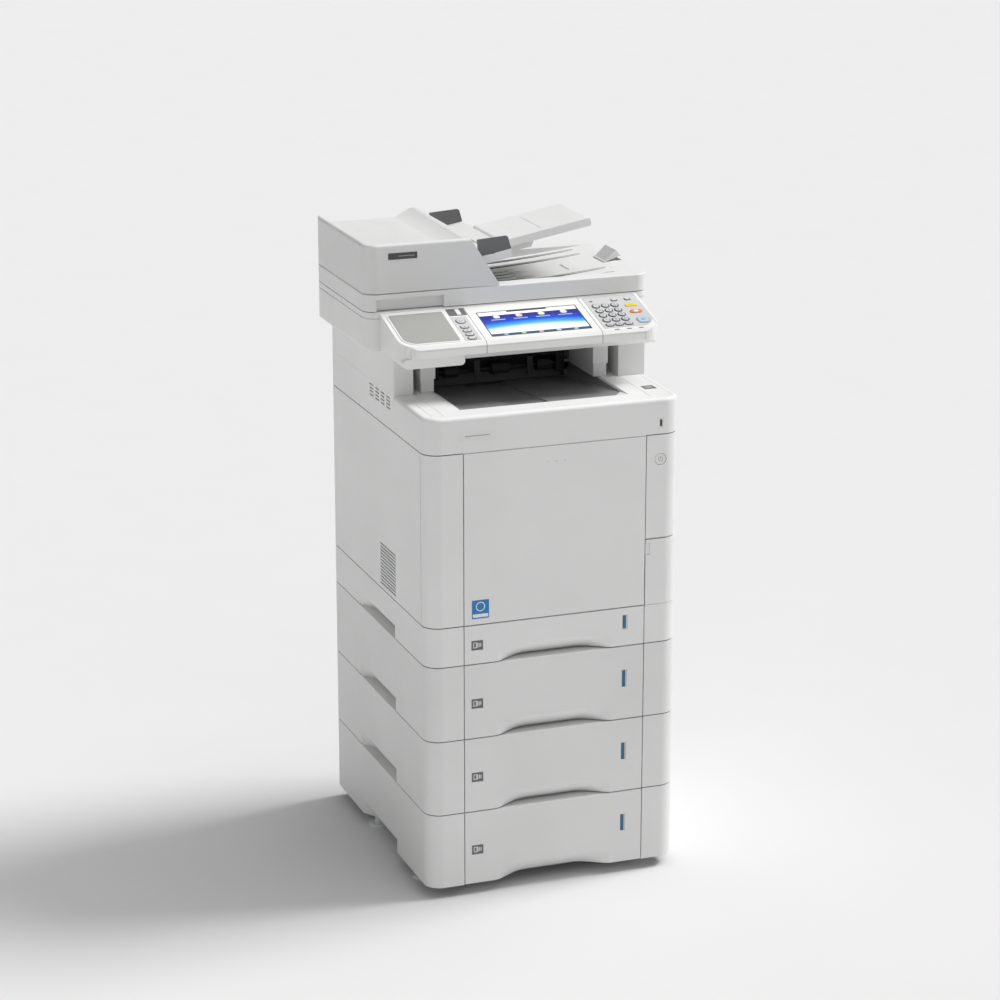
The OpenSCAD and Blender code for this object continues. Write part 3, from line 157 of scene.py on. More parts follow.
COVER = moulded("cover_plastic", WHITE, rough=0.46)
COVER_SMOOTH = moulded("cover_plastic_smooth", (0.86, 0.86, 0.85), rough=0.34, depth=0.00004)
# The feeder's cover and base are the covers' white plastic: their darker copies here are painted shade.
FEEDER_SHADED = moulded("feeder_plastic_shaded", (0.73, 0.73, 0.725), rough=0.46)
LID_SHADED = moulded("lid_plastic_shaded", (0.79, 0.79, 0.785), rough=0.46)
# The lower drawers and their housings are the covers' white plastic too: this darker copy is painted shade.
LOWER_SHADED = moulded("unit_plastic_shaded", (0.775, 0.775, 0.77), rough=0.46)
# The output bay is the body's light plastic: its dark grey here is painted shade of the deep, shut-in bay.
BAY_SHADED = moulded("bay_plastic_painted_shade", (0.25, 0.25, 0.255), rough=0.42, depth=0.00006)
BLACK = moulded("black_plastic", (0.028, 0.028, 0.030), rough=0.38)
TRAY = moulded("tray_plastic", (0.075, 0.075, 0.08), rough=0.5)
GREY = moulded("guide_plastic", (0.15, 0.15, 0.155), rough=0.45)
PAD = moulded("pad_plastic", (0.37, 0.37, 0.355), rough=0.55, depth=0.0002, grain=1500)
KEYPAD = moulded("keypad_film", (0.60, 0.60, 0.60), rough=0.5, depth=0.00003, grain=2200)
KEY = moulded("key_plastic", (0.66, 0.67, 0.68), rough=0.4, depth=0.00003, coat=0.2)
# Dark rings round the keys: painted shade of the narrow gaps round them.
KEY_RING = moulded("key_ring", (0.055, 0.055, 0.06), rough=0.45, depth=0.00003)
YELLOW = moulded("key_yellow", (0.90, 0.66, 0.02), rough=0.4, depth=0.00003, coat=0.2)
ORANGE = moulded("key_orange", (0.88, 0.24, 0.05), rough=0.4, depth=0.00003, coat=0.2)
BLUE = moulded("key_blue", (0.50, 0.62, 0.74), rough=0.4, depth=0.00003, coat=0.2)
FOOT = clear("foot_nylon", (0.86, 0.88, 0.88), 0.3, 0.75)
GLASS = clear("glass", (0.86, 0.94, 0.92), 0.05, 0.3)
STEEL = brushed("zinc_steel", (0.62, 0.63, 0.64), 2)
MOTOR = brushed("motor_metal", (0.30, 0.30, 0.32), 0, rough=0.45)
DRUM = moulded("drum_coating", (0.02, 0.16, 0.20), rough=0.14, depth=0.00001, coat=0.6, spread=0.03)
TONER = moulded("toner_plastic", (0.05, 0.05, 0.055), rough=0.4)
BELT = moulded("belt_film", (0.012, 0.012, 0.014), rough=0.2, depth=0.00001, coat=0.3)
FUSER = moulded("fuser_film", (0.30, 0.10, 0.03), rough=0.3, depth=0.00002, coat=0.3)
SILICONE = moulded("silicone", (0.09, 0.09, 0.10), rough=0.6)
BOARD = moulded("circuit_board", (0.015, 0.10, 0.035), rough=0.35, depth=0.00005, mottle=0.2, coat=0.3)
FOAM = moulded("platen_foam", (0.85, 0.85, 0.84), rough=0.6, grain=500, depth=0.0003)
SEAM = moulded("seam_shadow", (0.035, 0.035, 0.037), rough=0.7, depth=0.00002)
RUBBER = moulded("roller_rubber", (0.03, 0.03, 0.032), rough=0.65, grain=700, depth=0.0002)

# Which material each CAD node gets, by name and then by the start of its name; the others are covers
NODE_MATERIAL = {
    "feet": FOOT, "main_frame": STEEL, "output_tray": BAY_SHADED, "exit_unit": BLACK, "exit_roller": RUBBER,
    "toner_containers": TONER, "transfer_belt": BELT, "fuser_housing": BLACK, "heat_roller": FUSER,
    "pressure_roller": SILICONE, "laser_unit": BLACK, "drive_motor": MOTOR, "cooling_fan": BLACK,
    "power_supply": BOARD, "platen_glass": GLASS, "carriage": BLACK, "platen_pad": FOAM,
    "guide_front": GREY, "guide_rear": GREY, "adf_roller": RUBBER, "number_keys": KEY, "function_keys": KEY,
    "reset_key": YELLOW, "stop_key": ORANGE, "start_key": BLUE, "control_panel": COVER_SMOOTH,
    "adf_base": LID_SHADED, "adf_cover": FEEDER_SHADED,
    "cassette_front_2": LOWER_SHADED, "cassette_front_3": LOWER_SHADED, "cassette_front_4": LOWER_SHADED,
}
GROUP_MATERIAL = {"cassette_tray": TRAY, "drum_": DRUM, "feeder_housing": LOWER_SHADED}
for name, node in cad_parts.items():
    mat = NODE_MATERIAL.get(name, COVER)
    for start, group in GROUP_MATERIAL.items():
        if name.startswith(start):
            mat = group
    if not node.material_slots:
        node.data.materials.append(None)
    for slot in node.material_slots:
        slot.link = "OBJECT"
        slot.material = mat

# ---------- softened edges of the CAD covers ----------

# Radius of the rounded edges in mm, by a part of the node's name
EDGE = {"cassette_front": 1.0, "front_cover": 1.0, "adf_cover": 1.2, "adf_base": 0.7, "document_tray": 0.9,
        "control_panel": 0.8, "scanner_housing": 0.8, "top_cover": 0.5, "stopper_flap": 0.7, "guide_": 0.7,
        "power_button": 0.5, "_key": 0.45, "scanner_stand": 0.5}
OTHER_EDGE = 0.4
NO_EDGE = ("screen", "platen_glass", "cooling_fan", "power_supply")
WELD_DISTANCE = 0.00002
# Angles in degrees: of faces that count as one plane, of edges to round, of creases to keep sharp
FLAT_ANGLE, ROUND_ANGLE, CREASE_ANGLE = 0.6, 32, 23.5


def soften(name, node):
    """Rounds a node's edges with modifiers, which leave its mesh as it is."""
    if name in NO_EDGE:
        return
    width = next((w for key, w in EDGE.items() if key in name), OTHER_EDGE) * MM
    weld = node.modifiers.new("weld", "WELD")
    weld.merge_threshold = WELD_DISTANCE
    flat = node.modifiers.new("flat", "DECIMATE")
    flat.decimate_type = "DISSOLVE"
    flat.angle_limit = math.radians(FLAT_ANGLE)
    bevel = node.modifiers.new("bevel", "BEVEL")
    bevel.width = width
    bevel.segments = 3
    bevel.limit_method = "ANGLE"
    bevel.angle_limit = math.radians(ROUND_ANGLE)
    bevel.harden_normals = False
    if name.startswith("cassette_front") or ("housing" in name and name != "fuser_housing"):
        creases = node.modifiers.new("creases", "EDGE_SPLIT")
        creases.split_angle = math.radians(CREASE_ANGLE)
    normals = node.modifiers.new("normals", "WEIGHTED_NORMAL")
    normals.keep_sharp = False
    normals.weight = 90


for name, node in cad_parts.items():
    soften(name, node)

# ---------- building blocks of the small pieces; lengths are in mm unless said otherwise ----------


def rounded(w, h, r, steps=6):
    """Outline of a rounded rectangle round the origin, counter-clockwise."""
    r = min(r, w / 2 - 1e-6, h / 2 - 1e-6)
    points = []
    right, top = w / 2 - r, h / 2 - r
    centres = ((right, top), (-right, top), (-right, -top), (right, -top))
    for (cx, cy), start in zip(centres, (0, 90, 180, 270)):
        for k in range(steps + 1):
            a = math.radians(start + 90 * k / steps)
            points.append((cx + r * math.cos(a), cy + r * math.sin(a)))
    return points


def mesh_object(name, bm, mat):
    """Turns bm into a linked object with one material, and frees it."""
    mesh = bpy.data.meshes.new(name)
    bm.to_mesh(mesh)
    bm.free()
    obj = bpy.data.objects.new(name, mesh)
    bpy.context.collection.objects.link(obj)
    mesh.materials.append(mat)
    return obj


def piece(name, mesh_builder, mat, body, matrix=Matrix()):
    """A mesh object built by mesh_builder(bm) in local metres, put in place by matrix, riding on a body."""
    bm = bmesh.new()
    mesh_builder(bm)
    bmesh.ops.recalc_face_normals(bm, faces=bm.faces)
    bm.transform(matrix)
    obj = mesh_object(name, bm, mat)
    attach(obj, body)
    return obj


def fill_grid(bm, rows):
    """Joins rows of vertices, each as long as the next, with four-sided faces."""
    for low, high in zip(rows, rows[1:]):
        for i in range(len(low) - 1):
            bm.faces.new((low[i], low[i + 1], high[i + 1], high[i]))


def thicken(obj, thickness):
    """Gives a strip of open faces a real thickness, in mm, half to each side."""
    modifier = obj.modifiers.new("thickness", "SOLIDIFY")
    modifier.thickness = thickness * MM
    modifier.offset = 0


def plate(name, outline, z0, z1, mat, body, matrix, soft=0.3, hole=None):
    """Flat plate with softened upper edges: outline and hole lie in the local X-Y plane."""
    def build(bm):
        rings = []
        for points, sign in ((outline, 1), (hole, -1)):
            if not points:
                continue
            inset = soft * sign
            cx = sum(p[0] for p in points) / len(points)
            cy = sum(p[1] for p in points) / len(points)
            far = max(math.hypot(p[0] - cx, p[1] - cy) for p in points)
            k = 1 - inset / far
            levels = ((1.0, z0), (1.0, z1 - soft), ((1 + k) / 2, z1 - soft * 0.3), (k, z1))
            rings.append([[bm.verts.new(((cx + (x - cx) * s) * MM, (cy + (y - cy) * s) * MM, z * MM))
                           for x, y in points] for s, z in levels])
        for levels in rings:
            for low, high in zip(levels, levels[1:]):
                for i in range(len(low)):
                    j = (i + 1) % len(low)
                    bm.faces.new((low[i], low[j], high[j], high[i]))
        if len(rings) == 1:
            bm.faces.new(rings[0][-1])
            bm.faces.new(rings[0][0])
        else:
            for level in (0, -1):
                a, b = rings[0][level], rings[1][level]
                for i in range(len(a)):
                    j = (i + 1) % len(a)
                    bm.faces.new((a[i], a[j], b[j], b[i]))
    return piece(name, build, mat, body, matrix)


def moved(points, x, y):
    """The outline shifted by x and y."""
    return [(px + x, py + y) for px, py in points]


def front_face(y):
    """Local x to the right, local y up, local z towards the user, on the plane at y."""
    upright = Matrix(((1, 0, 0, 0), (0, 0, -1, 0), (0, 1, 0, 0), (0, 0, 0, 1)))
    return Matrix.Translation((0, y * MM, 0)) @ upright


def tilted(x, y, z, degrees):
    """Local axes with their origin at x, y, z, turned about X."""
    return Matrix.Translation((x * MM, y * MM, z * MM)) @ Matrix.Rotation(math.radians(degrees), 4, "X")


def edge_mm(node, corner, axis):
    """One coordinate of a CAD node's box; corner 0 is the low one and 1 the high one."""
    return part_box(node)[corner][axis] / MM


Y_FRONT = edge_mm("front_cover", 0, 1)
FRONT = front_face(Y_FRONT)
Z_DECK = edge_mm("top_cover", 1, 2)

# Control panel: its sloping face starts a little behind the panel's front
PANEL_TILT, PANEL_DEPTH, PANEL_NOSE = 15.4, 100, 4
PANEL_RISE = PANEL_DEPTH * math.tan(math.radians(PANEL_TILT))
PANEL_LOW = (0, edge_mm("control_panel", 0, 1) + PANEL_NOSE, edge_mm("control_panel", 1, 2) - PANEL_RISE)
PANEL = tilted(*PANEL_LOW, PANEL_TILT)


def on_panel(name, outline, z0, z1, mat, soft, body="machine", hole=None):
    """A plate on the control panel's sloping face."""
    plate(name, outline, z0, z1, mat, body, PANEL, soft, hole)


def on_front(name, outline, z0, z1, mat, soft, body="machine", hole=None):
    """A plate on the machine's front."""
    plate(name, outline, z0, z1, mat, body, FRONT, soft, hole)


def corner_plate(x0, x1, v0, v1, r_small, r_left, r_right):
    """Rounded outline on the panel whose two front corners have their own radii."""
    points = []
    steps = 8
    corners = ((x1 - r_small, v1 - r_small, r_small, 0), (x0 + r_small, v1 - r_small, r_small, 90),
               (x0 + r_left, v0 + r_left, r_left, 180), (x1 - r_right, v0 + r_right, r_right, 270))
    for cx, cy, r, start in corners:
        for k in range(steps + 1):
            a = math.radians(start + 90 * k / steps)
            points.append((cx + r * math.cos(a), cy + r * math.sin(a)))
    return points


on_panel("card_pad_rim", corner_plate(-193.5, -106, 3.5, 96.5, 4, 23, 4), -0.2, 1.0, COVER_SMOOTH, 0.6)
on_panel("card_pad", corner_plate(-190.5, -109, 6.5, 93.5, 3, 20, 3), 0.9, 1.5, PAD, 0.4)
on_panel("function_film", corner_plate(-102, -77.5, 4, 76.5, 2, 2, 2), -0.1, 0.35, KEYPAD, 0.2)
on_panel("window_film", corner_plate(-101, -74, 80, 101, 1, 1, 1), -1.0, -0.2, GREY, 0.2)
on_panel("window_bar", corner_plate(-88, -81.5, 82, 99, 1, 1, 1), -0.3, 0.4, COVER_SMOOTH, 0.2)
on_panel("keypad_film", corner_plate(111.8, 194.5, 6, 100.5, 3, 3, 24), -0.6, 0.2, KEYPAD, 0.2)
LED = printed("status_lamp", (0.14, 0.30, 0.12), 0.25, 0.5)
on_panel("status_lamp", moved(rounded(5, 3, 1.4), 121.6, 87.4), 0.1, 0.9, LED, 0.3)

# ---------- keys ----------

KEY_X = (123.4, 138.2, 152.9)
KEY_V = (72, 57.2, 43, 28.3)
LEGENDS = ("1", "2", "3", "4", "5", "6", "7", "8", "9", "*", "0", "#")
INK = printed("key_ink", (0.05, 0.05, 0.06), 0.5)
KEY_TOP = 1.5
MARK_LOW, MARK_HIGH = KEY_TOP - 0.1, KEY_TOP + 0.06
# Soft edge of printed marks
FINE = 0.05
LEGEND_THICKNESS, LEGEND_LIFT = 0.08, 0.03


def legend(name, text, x, v, size, body):
    """A digit printed on a key, as a thin solid."""
    curve = bpy.data.curves.new(name, "FONT")
    curve.body = text
    curve.size = size * MM
    curve.extrude = LEGEND_THICKNESS / 2 * MM
    curve.align_x = "CENTER"
    curve.align_y = "CENTER"
    obj = bpy.data.objects.new(name, curve)
    bpy.context.collection.objects.link(obj)
    obj.matrix_world = PANEL @ Matrix.Translation((x * MM, v * MM, (KEY_TOP + LEGEND_LIFT) * MM))
    curve.materials.append(INK)
    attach(obj, body)


def ring(name, x, v, w, h, r, thick=1.3, mat=KEY_RING):
    """Raised ring on the panel round a key of width w, height h and corner radius r; in its default dark
    colour it is painted shade of the gap round the key.
    """
    gap = 0.6
    inner = rounded(w + 2 * gap, h + 2 * gap, r + gap)
    outer = rounded(w + 2 * (gap + thick), h + 2 * (gap + thick), r + gap + thick)
    on_panel(name, moved(outer, x, v), 0.05, 0.75, mat, 0.2, hole=moved(inner, x, v))


for row, v in enumerate(KEY_V):
    for col, x in enumerate(KEY_X):
        number = row * 3 + col
        ring(f"key_ring_{number}", x, v, 8.6, 8.6, 4.2, thick=1.5)
        legend(f"key_legend_{number}", LEGENDS[number], x, v, 6.5, "number_keys_body")
for i, x in enumerate(KEY_X):
    ring(f"soft_key_ring_{i}", x, 14, 10, 6, 2.9)
    on_panel(f"soft_key_mark_{i}", moved(rounded(5, 1.2, 0.5), x, 14), MARK_LOW, MARK_HIGH, INK, FINE,
             body="number_keys_body")
for i, x in enumerate((157.7, 178.7)):
    ring(f"small_key_ring_{i}", x, 87, 7, 5, 1.2, thick=0.9)
for i, (v, w, h, r) in enumerate(((61.7, 12, 12, 5.9), (43.8, 10.5, 6, 2.9), (32.5, 10.5, 6, 2.9),
                                  (21.2, 10.5, 6, 2.9), (10.5, 10.5, 6, 2.9))):
    ring(f"function_ring_{i}", -90.35, v, w, h, r, thick=1.1)
on_panel("function_mark", moved(rounded(6, 6, 2.9), -90.4, 61.7), MARK_LOW, MARK_HIGH, INK, FINE,
         body="function_keys_body", hole=moved(rounded(4.4, 4.4, 2.1), -90.4, 61.7))
for i, v in enumerate((43.8, 32.5, 21.2)):
    on_panel(f"function_mark_{i}", moved(rounded(4.5, 1.1, 0.4), -90.3, v), MARK_LOW, MARK_HIGH, INK, FINE,
             body="function_keys_body")
PAPER = printed("key_mark_white", (0.85, 0.85, 0.85), 0.5)
on_panel("stop_mark", moved(rounded(7, 4.5, 0.6), 177.8, 48), MARK_LOW, MARK_HIGH, PAPER, FINE,
         body="stop_key_body")
on_panel("reset_mark", moved(rounded(8, 1.2, 0.5), 177.5, 68), MARK_LOW, MARK_HIGH,
         printed("reset_mark", (0.55, 0.38, 0.02), 0.5), FINE, body="reset_key_body")
on_panel("start_mark", [(175.6, 17.6), (182.6, 21.5), (175.6, 25.4)], MARK_LOW, MARK_HIGH,
         printed("start_mark", (0.20, 0.38, 0.58), 0.5), FINE, body="start_key_body")
START_RING = printed("start_ring", (0.42, 0.44, 0.46), 0.4)
ring("start_ring", 178.5, 21.5, 16.5, 15.5, 5, thick=1.4, mat=START_RING)

for i, x in enumerate((129.4, 148.4, 167.1)):
    on_panel(f"keypad_tick_{i}", moved(rounded(7.2, 1.2, 0.4), x, 0.7), -0.58, -0.3, KEY_RING, FINE)

# ---------- display ----------

SCREEN_X = (edge_mm("screen", 0, 0), edge_mm("screen", 1, 0))
SCREEN_V = (10.3, 83.7)


def display_material():
    """A lit display: dark bar, white haze, sky from light to deep blue over a curved horizon, white bar."""
    mat, tree, shader = new_material("display")
    node, link = tree.nodes.new, tree.links.new
    coord = node("ShaderNodeTexCoord")
    split = node("ShaderNodeSeparateXYZ")
    link(coord.outputs["Generated"], split.inputs["Vector"])

    def calc(op, a, b):
        m = node("ShaderNodeMath")
        m.operation = op
        for socket, value in zip(m.inputs, (a, b)):
            if isinstance(value, (int, float)):
                socket.default_value = value
            else:
                link(value, socket)
        return m.outputs["Value"]

    across = calc("SUBTRACT", split.outputs["X"], 0.5)
    bow = calc("MULTIPLY", calc("MULTIPLY", across, across), 0.35)
    height = calc("ADD", split.outputs["Y"], bow)
    sky = node("ShaderNodeValToRGB")
    link(height, sky.inputs["Fac"])
    stops = ((0.0, (0.80, 0.88, 0.95)), (0.30, (0.72, 0.84, 0.95)), (0.44, (0.06, 0.36, 0.85)),
             (0.60, (0.005, 0.06, 0.50)), (0.78, (0.002, 0.01, 0.22)), (1.0, (0.003, 0.008, 0.16)))
    while len(sky.color_ramp.elements) < len(stops):
        sky.color_ramp.elements.new(0.5)
    for element, (place, color) in zip(sky.color_ramp.elements, stops):
        element.position = place
        element.color = (*color, 1)

    def band(low, high, color, below):
        inside = calc("MULTIPLY", calc("GREATER_THAN", split.outputs["Y"], low),
                      calc("LESS_THAN", split.outputs["Y"], high))
        m = node("ShaderNodeMix")
        m.data_type = "RGBA"
        m.inputs["B"].default_value = (*color, 1)
        link(inside, m.inputs["Factor"])
        link(below, m.inputs["A"])
        return m.outputs["Result"]

    color = band(0.86, 1.01, (0.86, 0.87, 0.90), sky.outputs["Color"])
    color = band(-0.01, 0.085, (0.05, 0.09, 0.12), color)
    link(color, shader.inputs["Base Color"])
    link(color, shader.inputs["Emission Color"])
    shader.inputs["Emission Strength"].default_value = 0.35
    shader.inputs["Coat Weight"].default_value = 0.15
    link(remap(tree, noise(tree, 40, 4), 0.16, 0.26), shader.inputs["Roughness"])
    return mat


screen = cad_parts["screen"]
screen.material_slots[0].material = printed("display_frame", (0.03, 0.03, 0.035), 0.2, 0.3)
SCREEN_MIDDLE = ((SCREEN_X[0] + SCREEN_X[1]) / 2, (SCREEN_V[0] + SCREEN_V[1]) / 2)


def image_builder(bm):
    """The picture area, smaller than the glass by a margin all round, in local metres."""
    margin, grid = 1.5, 8
    w, h = SCREEN_X[1] - SCREEN_X[0] - 2 * margin, SCREEN_V[1] - SCREEN_V[0] - 2 * margin
    fill_grid(bm, [[bm.verts.new(((i / grid - 0.5) * w * MM, (j / grid - 0.5) * h * MM, 0))
                    for i in range(grid + 1)] for j in range(grid + 1)])


def on_panel_piece(name, builder, mat, x, v, z, body="machine"):
    """A piece with its own origin and axes on the panel, so that Generated coordinates follow its own box."""
    bm = bmesh.new()
    builder(bm)
    obj = mesh_object(name, bm, mat)
    obj.matrix_world = PANEL @ Matrix.Translation((x * MM, v * MM, z * MM))
    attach(obj, body)
    return obj


thicken(on_panel_piece("display_image", image_builder, display_material(), *SCREEN_MIDDLE, -0.3), 0.04)
ICONS = (("icon_white", (0.80, 0.83, 0.90)), ("icon_pink", (0.85, 0.55, 0.60)),
         ("icon_green", (0.70, 0.85, 0.55)), ("icon_slate", (0.75, 0.82, 0.88)))
LABEL = printed("icon_label", (0.45, 0.52, 0.75), 0.4)
width = SCREEN_X[1] - SCREEN_X[0]
for i, (name, color) in enumerate(ICONS):
    x = SCREEN_X[0] + width * (0.17 + 0.225 * i)
    on_panel(name, moved(rounded(10, 9, 3.5), x, 67), -0.31, -0.12, printed(name, color, 0.35, 0.3), 0.08)
    on_panel(name + "_mark", moved(rounded(5, 5, 2.2), x - 1.5, 68), -0.2, -0.05, PAPER, FINE)
    on_panel(name + "_label", moved(rounded(22, 2.4, 0.8), x, 58.5), -0.31, -0.18, LABEL, FINE)
DOTS = ((0.45, 0.55, 0.90), (0.55, 0.80, 0.40), (0.90, 0.55, 0.50), (0.75, 0.72, 0.85), (0.60, 0.60, 0.66))
for i, color in enumerate(DOTS):
    x = SCREEN_X[0] + width * (0.15 + 0.175 * i)
    on_panel(f"screen_dot_{i}", moved(rounded(7, 4, 1.9), x, 14.6), -0.31, -0.12,
             printed(f"screen_dot_{i}", color, 0.35), FINE)
on_panel("screen_title", moved(rounded(62, 3.2, 0.4), SCREEN_X[0] + width * 0.5, 80.6), -0.31, -0.14,
         printed("screen_title", (0.02, 0.02, 0.025), 0.4), FINE)
for i, x in enumerate((-72.7, 105.4)):
    on_panel(f"panel_seam_{i}", moved(rounded(0.74, 101, 0.1), x, 51.5), -0.68, -0.3, SEAM, 0.03)
    plate(f"panel_seam_front_{i}", moved(rounded(0.74, 12.6, 0.1), x, PANEL_LOW[2] - 11.5), -0.2, 0.3, SEAM,
          "machine", front_face(PANEL_LOW[1] - 3.3), 0.03)
    plate(f"panel_seam_edge_{i}", rounded(0.74, 6.2, 0.1), -0.1, 0.25, SEAM, "machine",
          tilted(x, PANEL_LOW[1] - 1.4, PANEL_LOW[2] - 2.6, 47), 0.03)

# ---------- marks on the front ----------

# Blank labels with one line each, where the marks of a real machine would be
BADGE = printed("badge_grey", (0.79, 0.79, 0.785), 0.35, 0.3)
BADGE_DARK = printed("badge_dark", (0.035, 0.04, 0.04), 0.3, 0.5)
BADGE_LINE = printed("badge_line", (0.35, 0.35, 0.36), 0.4)
on_front("model_badge", moved(rounded(56, 14, 2), -118, 698.5), -0.2, 0.5, BADGE, 0.3)
on_front("model_badge_line", moved(rounded(38, 1.2, 0.5), -118, 698.5), 0.4, 0.6, BADGE_LINE, FINE)
cover_front = edge_mm("adf_cover", 0, 1)
plate("feeder_badge", moved(rounded(44, 9.5, 1), -163.7, 921.5), -0.2, 0.5, BADGE_DARK, "feeder_cover",
      front_face(cover_front), 0.2)
plate("feeder_badge_line", moved(rounded(24, 1.0, 0.4), -158, 921.5), 0.4, 0.6, BADGE_LINE, "feeder_cover",
      front_face(cover_front), FINE)

# Square label with a band and a ring
STICKER_BLUE = printed("sticker_blue", (0.005, 0.20, 0.50), 0.35, 0.2)
on_front("sticker", moved(rounded(26, 28, 1), -114, 440.5), -0.1, 0.15, STICKER_BLUE, FINE,
         body="front_cover_body")
on_front("sticker_band", moved(rounded(23, 5, 0.5), -114, 431), 0.1, 0.22, PAPER, 0.04,
         body="front_cover_body")
on_front("sticker_ring", moved(rounded(14, 14, 6.9, 12), -114, 444.5), 0.1, 0.22, PAPER, 0.04,
         body="front_cover_body", hole=moved(rounded(11.4, 11.4, 5.6, 12), -114, 444.5))

# Memory socket with its tongue, in its recess
on_front("memory_socket", moved(rounded(7.2, 12.4, 0.8), 161.5, 690.5), -1.5, -0.5, COVER_SMOOTH, 0.2)
on_front("memory_tongue", moved(rounded(3.4, 9.8, 0.3), 162.4, 690.5), -0.6, -0.3, BLACK, 0.1)

# Power button: ring and stroke on it, bezel round it
on_front("power_ring", moved(rounded(7, 7, 3.45, 10), 162.7, 636.4), -0.45, -0.25, BADGE_LINE, FINE,
         body="power_button_body", hole=moved(rounded(5.6, 5.6, 2.75, 10), 162.7, 636.4))
on_front("power_stroke", moved(rounded(0.8, 3.4, 0.35), 162.7, 638.6), -0.45, -0.2, BADGE_LINE, FINE,
         body="power_button_body")
on_front("power_bezel", moved(rounded(20.6, 20.6, 10.25, 12), 162.7, 636.4), -0.1, 0.35, COVER_SMOOTH, 0.2,
         hole=moved(rounded(18.4, 18.4, 9.15, 12), 162.7, 636.4))

# Drawers: a size card behind each small window, and a level gauge with its scale; the first drawer is lower
# than the others, so its card and gauge are too
CARD_X, GAUGE_X, LEVEL_X, TICK_X = -119, 110, 109.3, 121
TALL_DRAWER, CARD_RISE, CARD_STEP = 80, 29.1, 24.7
GAUGE_FOOT, GAUGE_HEAD_LOW, GAUGE_HEAD_TALL = 26.6, 48.4, 77.4
GAUGE = printed("gauge_blue", (0.01, 0.13, 0.24), 0.25, 0.4)
FRAME_DARK = printed("window_dark", (0.16, 0.16, 0.17), 0.4)
SCALE = printed("gauge_scale", (0.78, 0.78, 0.78), 0.5)
TICK = printed("gauge_tick", (0.66, 0.66, 0.66), 0.5)
for number in range(4):
    front = f"cassette_front_{number + 1}"
    body = f"cassette_{number + 1}"
    low = edge_mm(front, 0, 2) - 1.4
    tall = edge_mm(front, 1, 2) - low > TALL_DRAWER
    mid = low + CARD_RISE + (CARD_STEP if tall else 0)
    on_front(f"size_card_{number}", moved(rounded(17.4, 14.4, 0.8), CARD_X, mid), -1.5, -1.1, FRAME_DARK,
             0.1, body=body)
    on_front(f"size_sheet_{number}", moved(rounded(5.4, 8.4, 0.5), CARD_X - 3, mid), -1.15, -1.0, SCALE,
             FINE, body=body, hole=moved(rounded(3.2, 6.2, 0.3), CARD_X - 3, mid))
    for k, dx in enumerate((0.4, 3.1, 5.6)):
        on_front(f"size_mark_{number}_{k}", moved(rounded(1.5, 7.6 - k, 0.3), CARD_X + dx, mid), -1.15,
                 -1.0, SCALE, FINE, body=body)
    g0, g1 = low + GAUGE_FOOT, low + (GAUGE_HEAD_TALL if tall else GAUGE_HEAD_LOW)
    middle = (g0 + g1) / 2
    on_front(f"gauge_{number}", moved(rounded(7.0, g1 - g0, 1.0), GAUGE_X, middle), -1.5, -1.1, SCALE, 0.1,
             body=body)
    on_front(f"gauge_level_{number}", moved(rounded(5.4, g1 - g0 - 2.0, 0.5), LEVEL_X, middle), -1.2, -0.85,
             GAUGE, 0.1, body=body)
    for k in range(3):
        z = g0 + (g1 - g0) * (0.2 + 0.3 * k)
        on_front(f"gauge_tick_{number}_{k}", moved(rounded(2.2, 0.8, 0.3), TICK_X, z), -0.05, 0.08, TICK,
                 0.03, body=body)

# Card slot of the deck
TOP = Matrix.Translation((0, 0, Z_DECK * MM))
plate("deck_slot", moved(rounded(18.2, 19.2, 0.8), 169.5, -170), -1.1, -0.7, GREY, "machine", TOP, 0.2)
plate("deck_slot_lip", moved(rounded(13, 9, 0.6), 169.8, -168.5), -0.8, -0.2, PAD, "machine", TOP, 0.2)

# Exit tray: dark strips beside its ribs and a dark sheet on its floor under the feeder, painted shadow of the
# ribs' channels and of the feeder above
EXIT_LOW, EXIT_RISE = edge_mm("adf_cover", 0, 2) - 16.8, 15.7
EXIT_START, EXIT_RUN, EXIT_CURVE = -20, 225, 1.6
TRAY_SHADOW = moulded("channel_shadow", (0.045, 0.045, 0.047), rough=0.6, depth=0.00002)


def exit_z(x):
    """Height of the exit tray's surface at x."""
    return EXIT_LOW + EXIT_RISE * (max(0.0, x - EXIT_START) / EXIT_RUN) ** EXIT_CURVE


def channel(name, y0, y1, x0, x1, lift=0.25):
    """Painted shadow strip that lies on the exit tray from x0 to x1 and narrows to a blunt point over its
    right half.
    """
    steps, blunt = 24, 0.04

    def build(bm):
        rows = []
        for k in range(steps + 1):
            t = k / steps
            x = x0 + (x1 - x0) * t
            half = (y1 - y0) / 2 * min(1.0, 2 * (1 - t) + blunt)
            mid, z = (y0 + y1) / 2, exit_z(x) + lift
            rows.append([bm.verts.new((x * MM, (mid + d * half) * MM, z * MM)) for d in (-1, 0, 1)])
        fill_grid(bm, rows)
    thicken(piece(name, build, TRAY_SHADOW, "lid"), 0.08)


channel("exit_floor_shadow", -20, 176, -61, 16, 0.12)
# Each rib's middle in y, the gap to the channels beside it, their width, and where the two of them end
LONG_RIBS = [(y, 1.6, 5.0, (176, 168)) for y in (-8, 25, 129, 161)]
SHORT_RIBS = [(y, 1.2, 6.0, (right, right)) for y, right in ((44, 74), (62, 60), (80, 74), (98, 60))]
for i, (y, gap, width, ends) in enumerate(LONG_RIBS + SHORT_RIBS):
    channel(f"exit_channel_{2 * i}", y - gap - width, y - gap, -60, ends[0])
    channel(f"exit_channel_{2 * i + 1}", y + gap, y + gap + width, -60, ends[1])

